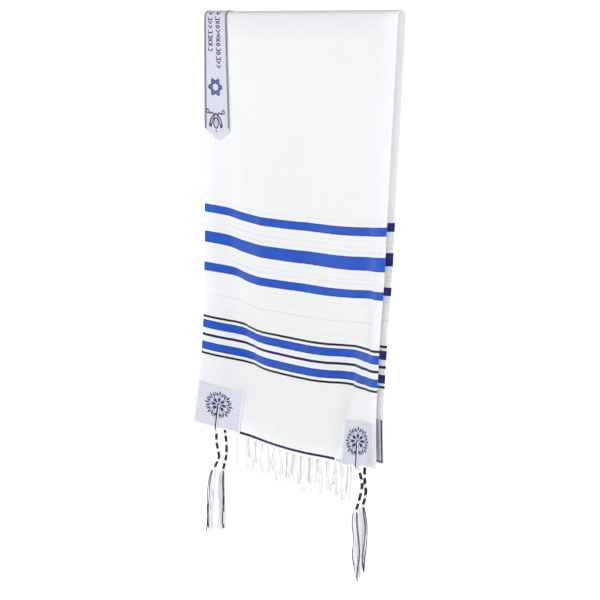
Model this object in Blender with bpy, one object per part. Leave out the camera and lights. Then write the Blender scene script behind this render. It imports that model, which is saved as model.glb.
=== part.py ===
"""A tallit (prayer shawl) hung at the middle of its length over a rail that isn't part of it.

Metres, +Z up. X runs along the rail, the front panel faces -Y, and the origin is at the middle of
the crown's underside, where a rail carries the cloth.

A place on the cloth is (u, v). u runs across the cloth, from the neck edge at -X (0) to WIDTH.
v runs along the cloth from the top of the crown, positive down the front, negative down the back.
The cloth's middle surface hangs in named folds, and every piece sewn on the cloth is made from the
same places, moved out along the cloth's normal.
"""

import functools
import math
import random

import bmesh
import bpy
import numpy as np
from mathutils import Vector

# Cloth. The cut is 24 x 72 in.
WIDTH = 0.610
LENGTH = 1.830
FRONT_EXTRA = 0.004  # the front half is this much longer than half the cut, and the back shorter
WALL = 0.0014
RAIL_SPACE = 0.0204  # clear width under the crown
GAP = 0.0003  # between pieces at a seam

# Pieces sewn on.
PATCH_WIDTH = 0.115
PATCH_HEIGHT = 0.088
PATCH_INSET = 0.003  # from the hem, and from the cloth's long edge
PATCH_WALL = 0.0010
EYELET_RADIUS = 0.004
EYELET_CELL = 0.016  # side of the small square of cloth around an eyelet
EYELET_RAISED = 0.003  # above the patch's middle
ATARAH_WIDTH = 0.080
ATARAH_SHOULDER = 0.257  # from the top of the crown to where the point starts, along the cloth
ATARAH_POINT = 0.022
POINT_LEDGE = 0.002  # the point's corners lie this much below the shoulder
ATARAH_WALL = 0.0012

# Worked out from those.
FRONT = LENGTH / 2 + FRONT_EXTRA
BACK = LENGTH / 2 - FRONT_EXTRA
CROWN_RADIUS = (RAIL_SPACE + WALL) / 2  # of the cloth's middle surface
QUARTER_TURN = CROWN_RADIUS * math.pi / 2  # cloth from the top of the crown to its side
CROWN_DROP = RAIL_SPACE / 2  # from the origin down to the crown's axis
EYELET_ACROSS = PATCH_INSET + PATCH_WIDTH / 2
EYELET_UP = PATCH_INSET + PATCH_HEIGHT / 2 + EYELET_RAISED

# Folds of the hung cloth. Each is a bell-shaped ridge (relief above 0, towards the front) or trough
# that runs down the cloth. middle and hem are its centre's distances from the neck edge, and its
# relief is given where the folds start to set (at_upper), among the stripes and at the hem. All mm.
FOLD_LEVELS = (0.0, 0.490, 0.700, 0.915)  # distances below the crown of: none, upper, middle, hem
FOLDS = (
    # name,          middle, hem, half_width, at_upper, at_middle, at_hem
    ("neck edge", -24, 5, 77, 14, 22, 53),
    ("neck trough", 58, 157, 53, -17, -22, -3),
    ("neck ridge", 200, 136, 36, 7, -3, -2),
    ("middle", 350, 133, 61, -11, -4, 2),
    ("outer trough", 553, 406, 63, -6, -27, -10),
    ("outer ridge", 576, 566, 79, 33, 49, 68),
    ("outer dent", 544, 571, 40, -15, -24, -41),
)
# The back panel follows the front's folds, less these bells of its own, so that the gap varies.
BACK_FOLDS = (
    ("back neck", 90, 120, 70, 0, 2, 5),
    ("back middle", 320, 300, 90, 0, -3, -6),
    ("back outer", 470, 500, 60, 0, 2, 4),
)
SAG = 0.017  # the middle threads hang this much lower than the two long edges
SAG_POWER = 2.1
SAG_FULL_AT = 0.40  # below the crown

# Fringe.
LOCKS = 17
STRANDS_IN_LOCK = 3
STRAND_SPACING = 0.0038
STRAND_WIDTH = 0.0027
STRIP_HEIGHT = 0.005
STRAND_SHAPE = ((0.33, 1.15), (0.67, 1.05), (1.0, 0.5))  # (share of the length, width there)
LOCK_FAN = 0.0012  # how far a lock's strands part, each from the next
LOCK_SWAY_ALONG = (-0.009, 0.007)  # how far a lock's tip may lie along X from its root
LOCK_SWAY_OUT = (-0.003, 0.003)  # and along Y
LOCK_LENGTHS = (0.88, 1.08)  # shares of FRINGE_LENGTH
STRAND_LENGTHS = (0.93, 1.0)  # shares of the lock's length
FRINGE_LENGTH = 0.076
FRINGE_START = 0.100  # from the cloth's edge, which is a little way in below each patch

# Tassels.
STRINGS = 8
STRING_WIDTH = 0.0029
STRING_LENGTH = 0.142
STRING_SPACING = 0.0039
STRING_DRIFT = 0.0006  # how far a cut end strays from its place
STRING_SHAPE = (
    # share of the length, how far the strings have parted, width there
    (0.0, 0.35, 0.9),
    (0.10, 0.7, 1.0),
    (0.25, 1.0, 1.0),
    (0.6, 1.0, 1.0),
    (1.0, 1.0, 0.7),
)
SHORTEST_STRING = 0.90  # as a share of STRING_LENGTH
STRING_ROOT = 0.003  # how deep the strings start inside the last knot
CORD_WIDTH = 0.0044  # the strings that pass through the eyelet, side by side
CORD_THICKNESS = 0.0024
CORD_CLEARANCE = 0.0006
CORD_BELOW_HEM = 0.001
CORD_TURN = ((0.0035, 1.0), (0.0008, 0.8))  # (below the eyelet's middle, share of the clearance)
CORD_SPREAD = 0.4  # where its two ends enter the first knot, as a share of WOUND_RADIUS
KNOT_RADIUS = 0.0040
WOUND_RADIUS = 0.0031
KNOT_SHAPE = (  # (share of the knot's length, radius)
    (0.12, WOUND_RADIUS),
    (0.35, KNOT_RADIUS),
    (0.65, KNOT_RADIUS),
    (0.88, WOUND_RADIUS),
)

# The stem, from the hem down: (kind, length in mm). Strings are wound round it between the knots.
STEM_START = 0.004  # below the hem
STEM = (
    ("knot", 9),
    ("wound", 13),
    ("knot", 8),
    ("wound", 12),
    ("knot", 9),
    ("wound", 15),
    ("knot", 7),
    ("wound", 12),
    ("knot", 8),
)
# The line that each tassel hangs along: (below the hem, along X, along Y), mm, from its eyelet's line.
ROUTES = {
    "front_left": (
        (0, -3, -3),
        (14, 0, 0),
        (30, 0, 0),
        (54, 3, 3),
        (66, 4, 4),
        (84, -1, -1),
        (108, -6, -7),
        (172, -9, -11),
        (262, -12, -14),
    ),
    "back_left": (
        (0, -2, -2),
        (27, 0, 0),
        (54, 2, 2),
        (83, 1, 1),
        (107, -3, -3),
        (125, -5, -6),
        (184, -5, -6),
        (262, -6, -7),
    ),
    "front_right": (
        (0, 0, 0),
        (13, 4, 4),
        (38, 7, 8),
        (55, 6, 6),
        (78, 2, 2),
        (95, -1, -1),
        (153, 0, 0),
        (262, 1, 1),
    ),
    "back_right": (
        (0, 0, 0),
        (25, -1, -1),
        (50, 0, 0),
        (62, 1, 1),
        (81, -1, -1),
        (96, -4, -4),
        (134, -2, -2),
        (198, -4, -5),
        (262, -5, -6),
    ),
}

# How finely the pieces are cut into faces.
CROWN_ROWS = 8
BAND_ROWS = 3  # beside the atarah
PLAIN_ROWS = 2  # from the atarah's tip to where the folds start
FOLDED_ROWS = 9  # from there to the patches
FOLDS_START = 0.430
MIDDLE_COLUMNS = 13  # between the patches
RIM_SIDES = 8
STEM_SIDES = 8
CORD_SIDES = 6
STRING_SIDES = 4
SMOOTH_BELOW = math.radians(40)

MM = 0.001
CORNERS = {
    # name: (at the neck edge, on the front)
    "front_left": (True, True),
    "front_right": (False, True),
    "back_left": (True, False),
    "back_right": (False, False),
}


# --- The hung cloth ---------------------------------------------------------------------------

THREAD_PLACES = 123  # places that one cross thread is worked out at
ACROSS = np.linspace(0.0, WIDTH, THREAD_PLACES)
STEP = ACROSS[1] - ACROSS[0]
NEAR = 0.003  # how far apart places are compared, for slopes and normals


def through(levels, values, at):
    """A smooth curve through the values at the levels (cubic, with the mean slope at each)."""
    last = len(levels) - 2
    i = min(max(int(np.searchsorted(levels, at)) - 1, 0), last)
    slopes = np.diff(values) / np.diff(levels)
    ends = np.concatenate([slopes[:1], (slopes[1:] + slopes[:-1]) / 2, slopes[-1:]])
    span = levels[i + 1] - levels[i]
    t = (at - levels[i]) / span
    return (
        values[i] * (1 + 2 * t) * (1 - t) ** 2
        + values[i + 1] * t * t * (3 - 2 * t)
        + span * t * (1 - t) * (ends[i] * (1 - t) - ends[i + 1] * t)
    )


def bells(folds, below):
    """Relief across the cloth of these folds, this far below the crown."""
    upper, hem_level = FOLD_LEVELS[1], FOLD_LEVELS[-1]
    drift = min(max((below - upper) / (hem_level - upper), 0.0), 1.0)
    relief = np.zeros_like(ACROSS)
    for _, middle, hem, half_width, *reliefs in folds:
        centre = middle + (hem - middle) * drift
        height = through(FOLD_LEVELS, [0, *reliefs], below)
        relief += height * MM * np.exp(-(((ACROSS / MM - centre) / half_width) ** 2))
    return relief


def relief_of(v):
    """Relief of one cross thread, towards the front."""
    below = abs(v) - QUARTER_TURN
    relief = bells(FOLDS, below)
    return relief if v > 0 else relief - bells(BACK_FOLDS, below)


def summed(values):
    return np.concatenate([[0.0], np.cumsum((values[1:] + values[:-1]) / 2 * STEP)])


def spread(relief):
    """x of one cross thread: its length stays, so folds draw its two ends in alike."""
    x = summed(np.sqrt(1 - np.gradient(relief, STEP) ** 2))
    return x - x[-1] / 2


@functools.cache
def thread(v):
    """(x, y, z) of the cloth's middle surface along the cross thread at v."""
    side = -1 if v > 0 else 1
    if abs(v) <= QUARTER_TURN:
        turn = abs(v) / CROWN_RADIUS
        y = side * CROWN_RADIUS * math.sin(turn)
        z = CROWN_RADIUS * math.cos(turn) - CROWN_DROP
        return np.stack([ACROSS - WIDTH / 2, np.full_like(ACROSS, y), np.full_like(ACROSS, z)])
    here, above, under = (relief_of(v - side * step) for step in (0, -NEAR, NEAR))
    x = spread(here)
    # A fold that runs aslant lifts the thread that crosses it, so that the weave stays square.
    slant = np.gradient(here, STEP) * (under - above)
    slant += np.gradient(x, STEP) * (spread(under) - spread(above))
    lift = summed(slant / (2 * NEAR))
    below = abs(v) - QUARTER_TURN
    share = min(below / SAG_FULL_AT, 1.0)
    sag = SAG * (1 - np.abs(2 * ACROSS / WIDTH - 1) ** SAG_POWER) * share**2 * (3 - 2 * share)
    z = lift - lift[len(lift) // 2] - below - sag - CROWN_DROP
    return np.stack([x, side * CROWN_RADIUS - here, z])


def middle_place(u, v):
    """The place at (u, v) on the cloth's middle surface."""
    return Vector([float(np.interp(u, ACROSS, along)) for along in thread(v)])


def on_cloth(u, v, offset=0.0):
    """The place at (u, v), moved out of the cloth's middle surface along its normal."""
    across = middle_place(min(u + NEAR, WIDTH), v) - middle_place(max(u - NEAR, 0.0), v)
    along = middle_place(u, v + NEAR) - middle_place(u, v - NEAR)
    return middle_place(u, v) + along.cross(across).normalized() * offset


# --- Building ---------------------------------------------------------------------------------


def clear_scene():
    for old in list(bpy.data.objects):
        bpy.data.objects.remove(old, do_unlink=True)


def material(name, colour, roughness):
    finish = bpy.data.materials.new(name)
    finish.use_nodes = True
    shader = finish.node_tree.nodes["Principled BSDF"]
    shader.inputs["Base Color"].default_value = (*colour, 1.0)
    shader.inputs["Roughness"].default_value = roughness
    shader.inputs["Metallic"].default_value = 0.0
    return finish


def add_object(name, mesh, finish=None):
    """The bmesh as a named object, its faces turned outwards."""
    bmesh.ops.recalc_face_normals(mesh, faces=mesh.faces)
    data = bpy.data.meshes.new(name)
    mesh.to_mesh(data)
    mesh.free()
    if finish:
        data.materials.append(finish)
    data.shade_smooth()
    data.set_sharp_from_angle(angle=SMOOTH_BELOW)
    made = bpy.data.objects.new(name, data)
    bpy.context.scene.collection.objects.link(made)
    return made


def halves(mesh, a, b, c, d):
    """A four-cornered face as two triangles, always cut from a to c."""
    mesh.faces.new((a, b, c))
    mesh.faces.new((a, c, d))


def spaced(start, stop, count):
    """count equal steps from start to stop, without the last place."""
    return [start + (stop - start) * i / count for i in range(count)]


def eyelet(mesh, corners, rims):
    """The faces around one eyelet, and its wall. corners and rims each hold (outer, inner).

    A cell's corners lie at -135, -45, 45 and 135 degrees, and its rim's points start at the first
    corner, two to a side.
    """
    for corner, rim in zip(corners, rims):
        for side in range(4):
            facing = 2 * side
            mesh.faces.new((corner[side], rim[facing - 1], rim[facing]))
            mesh.faces.new((corner[side], rim[facing], rim[facing + 1]))
            mesh.faces.new((corner[side], rim[facing + 1], corner[(side + 1) % 4]))
    outer, inner = rims
    for i in range(len(outer)):
        mesh.faces.new((outer[i - 1], outer[i], inner[i], inner[i - 1]))


def wall(name, rows, low, high, finish, eyelets=()):
    """A closed wall over rows of (u, v) places, between two offsets from the middle surface.

    eyelets holds the (row, column) of each cell that has a hole in it.
    """
    mesh = bmesh.new()

    def skin_of(places, offset):
        return [mesh.verts.new(on_cloth(u, v, offset)) for u, v in places]

    outer, inner = ([skin_of(row, offset) for row in rows] for offset in (high, low))
    last_row, last_column = len(rows) - 1, len(rows[0]) - 1
    for r in range(last_row):
        for c in range(last_column):
            cell = ((r, c), (r, c + 1), (r + 1, c + 1), (r + 1, c))
            corners = [[skin[i][j] for i, j in cell] for skin in (outer, inner)]
            if (r, c) not in eyelets:
                for corner in corners:
                    halves(mesh, *corner)
                continue
            u, v = (sum(rows[i][j][axis] for i, j in cell) / 4 for axis in (0, 1))
            turns = [2 * math.pi * i / RIM_SIDES - math.radians(135) for i in range(RIM_SIDES)]
            rim = [(u + EYELET_RADIUS * math.cos(a), v + EYELET_RADIUS * math.sin(a)) for a in turns]
            eyelet(mesh, corners, [skin_of(rim, offset) for offset in (high, low)])
    edge = [(0, c) for c in range(last_column)]
    edge += [(r, last_column) for r in range(last_row)]
    edge += [(last_row, c) for c in range(last_column, 0, -1)]
    edge += [(r, 0) for r in range(last_row, 0, -1)]
    for (i, j), (k, m) in zip(edge, edge[1:] + edge[:1]):
        halves(mesh, outer[i][j], outer[k][m], inner[k][m], inner[i][j])
    add_object(name, mesh, finish)


# --- Woven pieces -----------------------------------------------------------------------------

# Every layer of cloth has its points on the same lines, so that the faces of two layers stay parallel.
# These lie across and up a corner, counted from the cloth's long edge and from its hem.
HALF_CELL = EYELET_CELL / 2
ATARAH_MIDDLE = PATCH_INSET + ATARAH_WIDTH / 2
ATARAH_EDGE = PATCH_INSET + ATARAH_WIDTH
ACROSS_CORNER = [
    PATCH_INSET,
    (PATCH_INSET + ATARAH_MIDDLE) / 2,
    ATARAH_MIDDLE,
    EYELET_ACROSS - HALF_CELL,
    EYELET_ACROSS + HALF_CELL,
    ATARAH_EDGE,
    (ATARAH_EDGE + PATCH_INSET + PATCH_WIDTH) / 2,
    PATCH_INSET + PATCH_WIDTH,
]
UP_CORNER = [
    PATCH_INSET,
    (PATCH_INSET + EYELET_UP - HALF_CELL) / 2,
    EYELET_UP - HALF_CELL,
    EYELET_UP + HALF_CELL,
    (EYELET_UP + HALF_CELL + PATCH_INSET + PATCH_HEIGHT) / 2,
    PATCH_INSET + PATCH_HEIGHT,
]
EYELET_CELL_ACROSS = 3  # the eyelet's cell among those lines
EYELET_CELL_UP = 2


def u_lines():
    """Lines across the cloth, from the neck edge to the outer edge."""
    left = [0.0, *ACROSS_CORNER[:-1]]
    middle = spaced(ACROSS_CORNER[-1], WIDTH - ACROSS_CORNER[-1], MIDDLE_COLUMNS)
    return left + middle + [WIDTH - place for place in reversed([0.0, *ACROSS_CORNER])]


def v_lines(length):
    """Lines down one panel, from the side of the crown to the hem."""
    tip = ATARAH_SHOULDER + POINT_LEDGE + ATARAH_POINT
    band = spaced(QUARTER_TURN, ATARAH_SHOULDER, BAND_ROWS) + [ATARAH_SHOULDER]
    plain = spaced(tip, FOLDS_START, PLAIN_ROWS)
    folded = spaced(FOLDS_START, length - UP_CORNER[-1], FOLDED_ROWS)
    return band + plain + folded + [length - place for place in reversed([0.0, *UP_CORNER])]


def crown_lines():
    """Lines over the crown, between its two sides."""
    return spaced(-QUARTER_TURN, QUARTER_TURN, CROWN_ROWS)[1:]


def shawl(finish):
    us = u_lines()
    vs = [-place for place in reversed(v_lines(BACK))] + crown_lines() + v_lines(FRONT)
    rows = [[(u, v) for u in us] for v in vs]
    # The strip outside the patches adds one line before the eyelets' cells.
    up, in_from_edge = EYELET_CELL_UP + 1, EYELET_CELL_ACROSS + 1
    eyelets = [
        (r, c) for r in (up, len(vs) - 2 - up) for c in (in_from_edge, len(us) - 2 - in_from_edge)
    ]
    wall("shawl", rows, -WALL / 2, WALL / 2, finish, eyelets)


def corner_layers(name, patch_finish, facing_finish):
    """The label on a corner's outer face and the facing on its inner face."""
    at_neck, on_front = CORNERS[name]
    us = ACROSS_CORNER if at_neck else [WIDTH - place for place in reversed(ACROSS_CORNER)]
    if on_front:
        vs = [FRONT - place for place in reversed(UP_CORNER)]
    else:
        vs = [place - BACK for place in UP_CORNER]
    rows = [[(u, v) for u in us] for v in vs]
    # Counted from either end of the lines, the eyelet's cell has the same place.
    eyelets = [(EYELET_CELL_UP, EYELET_CELL_ACROSS)]
    seat = WALL / 2 + GAP
    wall(f"corner_patch_{name}", rows, seat, seat + PATCH_WALL, patch_finish, eyelets)
    wall(f"corner_facing_{name}", rows, -seat - PATCH_WALL, -seat, facing_finish, eyelets)


def atarah(finish):
    """The neck band lies over the crown, along the cloth's edge, with a point at each end."""
    us = [place for place in ACROSS_CORNER if place <= ATARAH_EDGE]
    down = [v for v in v_lines(FRONT) if v <= ATARAH_SHOULDER]
    vs = [-v for v in reversed(down)] + crown_lines() + down

    def point(side):
        shares = [1 - abs(u - ATARAH_MIDDLE) / (ATARAH_WIDTH / 2) for u in us]
        ledge = ATARAH_SHOULDER + POINT_LEDGE
        return [(u, side * (ledge + ATARAH_POINT * share)) for u, share in zip(us, shares)]

    rows = [point(-1), *([(u, v) for u in us] for v in vs), point(1)]
    seat = WALL / 2 + GAP
    wall("atarah", rows, seat, seat + ATARAH_WALL, finish)


# --- Fringe -----------------------------------------------------------------------------------


def strand_lines():
    """The two edges of each strand's root, across the cloth, from lock to lock."""
    pitch = (WIDTH - 2 * FRINGE_START) / LOCKS
    lines = []
    for lock in range(LOCKS):
        for strand in range(STRANDS_IN_LOCK):
            beside = (strand - (STRANDS_IN_LOCK - 1) / 2) * STRAND_SPACING
            centre = FRINGE_START + pitch * (lock + 0.5) + beside
            lines += [centre - STRAND_WIDTH / 2, centre + STRAND_WIDTH / 2]
    return lines


def hang_strand(mesh, root, sway, length):
    """Carries a four-cornered root down as one strand."""
    middle = sum((corner.co for corner in root), Vector()) / len(root)
    ring = root
    for down, wide in STRAND_SHAPE:
        shift = Vector((sway[0] * down**1.5, sway[1] * down**1.5, -length * down))
        lower = []
        for corner in root:
            place = middle + (corner.co - middle) * wide + shift
            place.z = middle.z + shift.z
            lower.append(mesh.verts.new(place))
        for j in range(len(ring)):
            halves(mesh, ring[j - 1], ring[j], lower[j], lower[j - 1])
        ring = lower
    halves(mesh, *ring)


def fringe(name, hem, side, finish):
    """A strip just below a hem and the locks that hang from it. side is 1 on the front."""
    rng = random.Random(name)
    sways = [(rng.uniform(*LOCK_SWAY_ALONG), rng.uniform(*LOCK_SWAY_OUT)) for _ in range(LOCKS)]
    lengths = [FRINGE_LENGTH * rng.uniform(*LOCK_LENGTHS) for _ in range(LOCKS)]
    mesh = bmesh.new()
    lines = [FRINGE_START, *strand_lines(), WIDTH - FRINGE_START]
    top, bottom = (side * (hem + GAP + below) for below in (0.0, STRIP_HEIGHT))
    # Each line's four corners, in the order of the strip's section.
    section = ((top, WALL / 2), (bottom, WALL / 2), (bottom, -WALL / 2), (top, -WALL / 2))
    corners = [[mesh.verts.new(on_cloth(u, v, offset)) for v, offset in section] for u in lines]
    for i, (here, after) in enumerate(zip(corners, corners[1:])):
        for side_of_strip in (0, 2, 3):
            turn = (side_of_strip + 1) % 4
            halves(mesh, here[side_of_strip], after[side_of_strip], after[turn], here[turn])
        under = (here[1], after[1], after[2], here[2])
        if i % 2 == 0:  # between two strands
            halves(mesh, *under)
            continue
        strand = i // 2
        lock = strand // STRANDS_IN_LOCK
        beside = strand % STRANDS_IN_LOCK - (STRANDS_IN_LOCK - 1) / 2
        sway = (sways[lock][0] + beside * LOCK_FAN, sways[lock][1] + beside * LOCK_FAN)
        hang_strand(mesh, under, sway, lengths[lock] * rng.uniform(*STRAND_LENGTHS))
    for end in (corners[0], corners[-1]):
        halves(mesh, *end)
    add_object(name, mesh, finish)


# --- Tassels ----------------------------------------------------------------------------------


def tube(mesh, places, rings):
    """A closed tube through the places. rings holds each place's corners, as offsets from it."""
    above = None
    for place, ring in zip(places, rings):
        here = [mesh.verts.new(place + offset) for offset in ring]
        if above is None:
            mesh.faces.new(here)
        else:
            for j in range(len(ring)):
                halves(mesh, above[j - 1], above[j], here[j], here[j - 1])
        above = here
    mesh.faces.new(above)


def round_ring(radius, sides):
    turns = [2 * math.pi * (i + 0.5) / sides for i in range(sides)]
    return [Vector((radius * math.cos(turn), radius * math.sin(turn), 0)) for turn in turns]


def hanging_line(name, root):
    """A function from the distance below the hem to the place on this tassel's line."""
    drops, along_x, along_y = zip(*ROUTES[name])

    def place(drop):
        x, y = (through(drops, values, drop / MM) * MM for values in (along_x, along_y))
        return root + Vector((x, y, -drop))

    return place


def stem_stations():
    """(distance below the hem, radius) of each ring of the stem."""
    stations = []
    start = STEM_START
    for kind, length in STEM:
        if kind == "knot":
            stations += [(start + length * MM * share, radius) for share, radius in KNOT_SHAPE]
        start += length * MM
    return stations


def loop_through_eyelet(mesh, u, side, hem, knot):
    """The strings from the first knot, over the patch, through the eyelet and down behind it."""
    eyelet_v = side * (hem - EYELET_UP)

    def seat(below, offset):
        """Beside the eyelet's cell, whose two long sides the cloth's faces run between."""
        v = eyelet_v + side * below
        return (on_cloth(u - HALF_CELL, v, offset) + on_cloth(u + HALF_CELL, v, offset)) / 2

    clear = WALL / 2 + GAP + PATCH_WALL + CORD_CLEARANCE + CORD_THICKNESS / 2
    rows = [EYELET_UP + CORD_BELOW_HEM] + [EYELET_UP - place for place in UP_CORNER[:3]]
    hole = on_cloth(u, eyelet_v)
    outward = (on_cloth(u, eyelet_v, clear) - hole).normalized()

    def one_side(sign):
        """From the knot up to the eyelet, on the patch's side or on the facing's."""
        ends = [knot + outward * sign * WOUND_RADIUS * CORD_SPREAD]
        ends += [seat(below, sign * clear) for below in rows]
        return ends + [
            on_cloth(u, eyelet_v + side * below, sign * clear * share) for below, share in CORD_TURN
        ]

    places = [*one_side(1), hole, *reversed(one_side(-1))]
    across = (on_cloth(u + HALF_CELL, eyelet_v) - on_cloth(u - HALF_CELL, eyelet_v)).normalized()
    rings = []
    for before, after in zip([places[0], *places], [*places[1:], places[-1]]):
        thick = (after - before).normalized().cross(across).normalized() * CORD_THICKNESS / 2
        wide = across * CORD_WIDTH / 2
        turns = [2 * math.pi * (i + 0.5) / CORD_SIDES for i in range(CORD_SIDES)]
        rings.append([wide * math.cos(turn) + thick * math.sin(turn) for turn in turns])
    tube(mesh, places, rings)


def loose_strings(mesh, rng, place):
    """The strings, in two rows, from inside the last knot to their cut ends."""
    start = STEM_START + sum(length for _, length in STEM) * MM - STRING_ROOT
    columns = STRINGS // 2
    for i in range(STRINGS):
        beside = Vector((i % columns - (columns - 1) / 2, i // columns - 0.5, 0)) * STRING_SPACING
        drift = Vector((rng.uniform(-1, 1), rng.uniform(-1, 1), 0)) * STRING_DRIFT
        length = STRING_LENGTH * rng.uniform(SHORTEST_STRING, 1.0)
        places, rings = [], []
        for down, gather, wide in STRING_SHAPE:
            places.append(place(start + length * down) + beside * gather + drift * down)
            rings.append(round_ring(STRING_WIDTH * wide / math.sqrt(2), STRING_SIDES))
        tube(mesh, places, rings)


def tassel(name, finish):
    at_neck, on_front = CORNERS[name]
    u = EYELET_ACROSS if at_neck else WIDTH - EYELET_ACROSS
    side, hem = (1, FRONT) if on_front else (-1, BACK)
    place = hanging_line(name, on_cloth(u, side * hem))
    stem = bmesh.new()
    stations = stem_stations()
    sections = [round_ring(radius, STEM_SIDES) for _, radius in stations]
    tube(stem, [place(drop) for drop, _ in stations], sections)
    made = add_object(f"tzitzit_{name}", stem, finish)
    strings = bmesh.new()
    loop_through_eyelet(strings, u, side, hem, place(stations[1][0]))
    loose_strings(strings, random.Random(name), place)
    guide = add_object(f"strings_{name}", strings)
    guide.hide_render = True
    guide.display_type = "WIRE"
    union = made.modifiers.new("Strings", "BOOLEAN")
    union.operation = "UNION"
    union.object = guide
    union.use_self = True


def main():
    clear_scene()
    cloth = material("white_wool", (0.83, 0.85, 0.89), 0.9)
    label = material("woven_label", (0.75, 0.77, 0.88), 0.7)
    facing = material("plain_facing", (0.80, 0.80, 0.86), 0.85)
    yarn = material("fringe_yarn", (0.86, 0.86, 0.86), 0.95)
    string = material("tassel_string", (0.84, 0.84, 0.86), 0.9)
    shawl(cloth)
    atarah(label)
    for name in CORNERS:
        corner_layers(name, label, facing)
        tassel(name, string)
    fringe("fringe_front", FRONT, 1, yarn)
    fringe("fringe_back", BACK, -1, yarn)


main()
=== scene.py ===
"""Looks of a tallit (prayer shawl) that hangs at the middle of its length.

A place on the cloth is (u, v), in metres, as on the solids. u runs across the cloth from the neck
edge at -X, and v runs along it from the top of the crown, positive down the front panel and
negative down the back one. Every woven or sewn piece is made from such places.
"""

import math
import random

import bpy
import numpy as np
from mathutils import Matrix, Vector


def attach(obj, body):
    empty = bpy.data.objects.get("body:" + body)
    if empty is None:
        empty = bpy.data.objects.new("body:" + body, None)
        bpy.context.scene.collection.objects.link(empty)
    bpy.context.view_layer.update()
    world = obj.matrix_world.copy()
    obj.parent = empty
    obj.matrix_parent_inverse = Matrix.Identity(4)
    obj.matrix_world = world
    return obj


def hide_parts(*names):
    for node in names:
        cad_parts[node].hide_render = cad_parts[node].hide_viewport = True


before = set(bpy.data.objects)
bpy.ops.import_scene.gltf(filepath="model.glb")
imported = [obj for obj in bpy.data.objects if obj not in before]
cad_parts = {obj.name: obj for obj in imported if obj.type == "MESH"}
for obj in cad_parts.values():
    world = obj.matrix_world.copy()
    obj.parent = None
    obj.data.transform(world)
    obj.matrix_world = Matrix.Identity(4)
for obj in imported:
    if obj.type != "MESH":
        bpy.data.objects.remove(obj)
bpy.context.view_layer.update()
MM = 0.001

# --- Sizes, as the solids have them ---

WIDTH = 0.610
LENGTH = 1.830
FRONT_EXTRA = 0.004
WALL = 0.0014
RAIL_SPACE = 0.0204
GAP = 0.0003
PATCH_WIDTH = 0.115
PATCH_HEIGHT = 0.088
PATCH_INSET = 0.003
PATCH_WALL = 0.0010
EYELET_RADIUS = 0.004
EYELET_CELL = 0.016
EYELET_RAISED = 0.003
ATARAH_WIDTH = 0.080
ATARAH_SHOULDER = 0.257
ATARAH_POINT = 0.022
POINT_LEDGE = 0.002
ATARAH_WALL = 0.0012

FRONT = LENGTH / 2 + FRONT_EXTRA
BACK = LENGTH / 2 - FRONT_EXTRA
CROWN_RADIUS = (RAIL_SPACE + WALL) / 2
QUARTER_TURN = CROWN_RADIUS * math.pi / 2
CROWN_DROP = RAIL_SPACE / 2
EYELET_ACROSS = PATCH_INSET + PATCH_WIDTH / 2
EYELET_UP = PATCH_INSET + PATCH_HEIGHT / 2 + EYELET_RAISED
ATARAH_MIDDLE = PATCH_INSET + ATARAH_WIDTH / 2
PATCH_SEAT = WALL / 2 + GAP
PATCH_TOP = PATCH_SEAT + PATCH_WALL
ATARAH_TOP = PATCH_SEAT + ATARAH_WALL

FOLD_LEVELS = (0.0, 0.490, 0.700, 0.915)
FOLDS = (
    # name,          middle, hem, half_width, at_upper, at_middle, at_hem (mm)
    ("neck edge", -24, 5, 77, 14, 22, 53),
    ("neck trough", 58, 157, 53, -17, -22, -3),
    ("neck ridge", 200, 136, 36, 7, -3, -2),
    ("middle", 350, 133, 61, -11, -4, 2),
    ("outer trough", 553, 406, 63, -6, -27, -10),
    ("outer ridge", 576, 566, 79, 33, 49, 68),
    ("outer dent", 544, 571, 40, -15, -24, -41),
)
BACK_FOLDS = (
    ("back neck", 90, 120, 70, 0, 2, 5),
    ("back middle", 320, 300, 90, 0, -3, -6),
    ("back outer", 470, 500, 60, 0, 2, 4),
)
SAG = 0.017
SAG_POWER = 2.1
SAG_FULL_AT = 0.40

# Soft creases that the solids leave out. A crease runs through (u, v) for its length, turned from
# straight down by its lean, and rises (or sinks, below 0) by its height.
CREASES = (
    # u, v, length, half_width, lean, height (degrees and mm)
    (118, 250, 300, 8, 12, 1.7),
    (25, 330, 170, 7, 9, 1.5),
    (585, 150, 90, 6, 65, 1.3),
    (588, 235, 70, 6, 70, 1.2),
    (190, 300, 330, 14, -4, -1.2),
    (262, 210, 260, 18, 3, 1.2),
    (338, 410, 300, 20, -6, -1.0),
    (430, 180, 230, 15, 5, 0.9),
    (486, 330, 280, 17, -3, -1.2),
    (545, 120, 180, 13, 4, 0.9),
    (60, 620, 260, 9, 2, 1.4),
    (152, 700, 240, 13, -7, -1.3),
    (232, 820, 170, 15, 8, 1.4),
    (318, 760, 260, 17, -5, -1.2),
    (398, 850, 150, 14, 6, 1.2),
    (462, 690, 230, 12, -6, 1.2),
    (520, 800, 200, 11, 5, -1.3),
    (90, -160, 220, 15, -5, 1.1),
    (210, -330, 300, 17, 4, -1.2),
    (330, -190, 260, 16, -3, 1.2),
    (455, -380, 310, 18, 5, -1.2),
    (540, -170, 210, 13, -4, 0.9),
    (70, -640, 230, 11, 4, 1.4),
    (170, -760, 250, 14, -6, -1.3),
    (290, -700, 280, 16, 5, 1.2),
    (405, -810, 190, 14, -5, -1.2),
    (515, -720, 240, 12, 6, 1.4),
)

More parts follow.
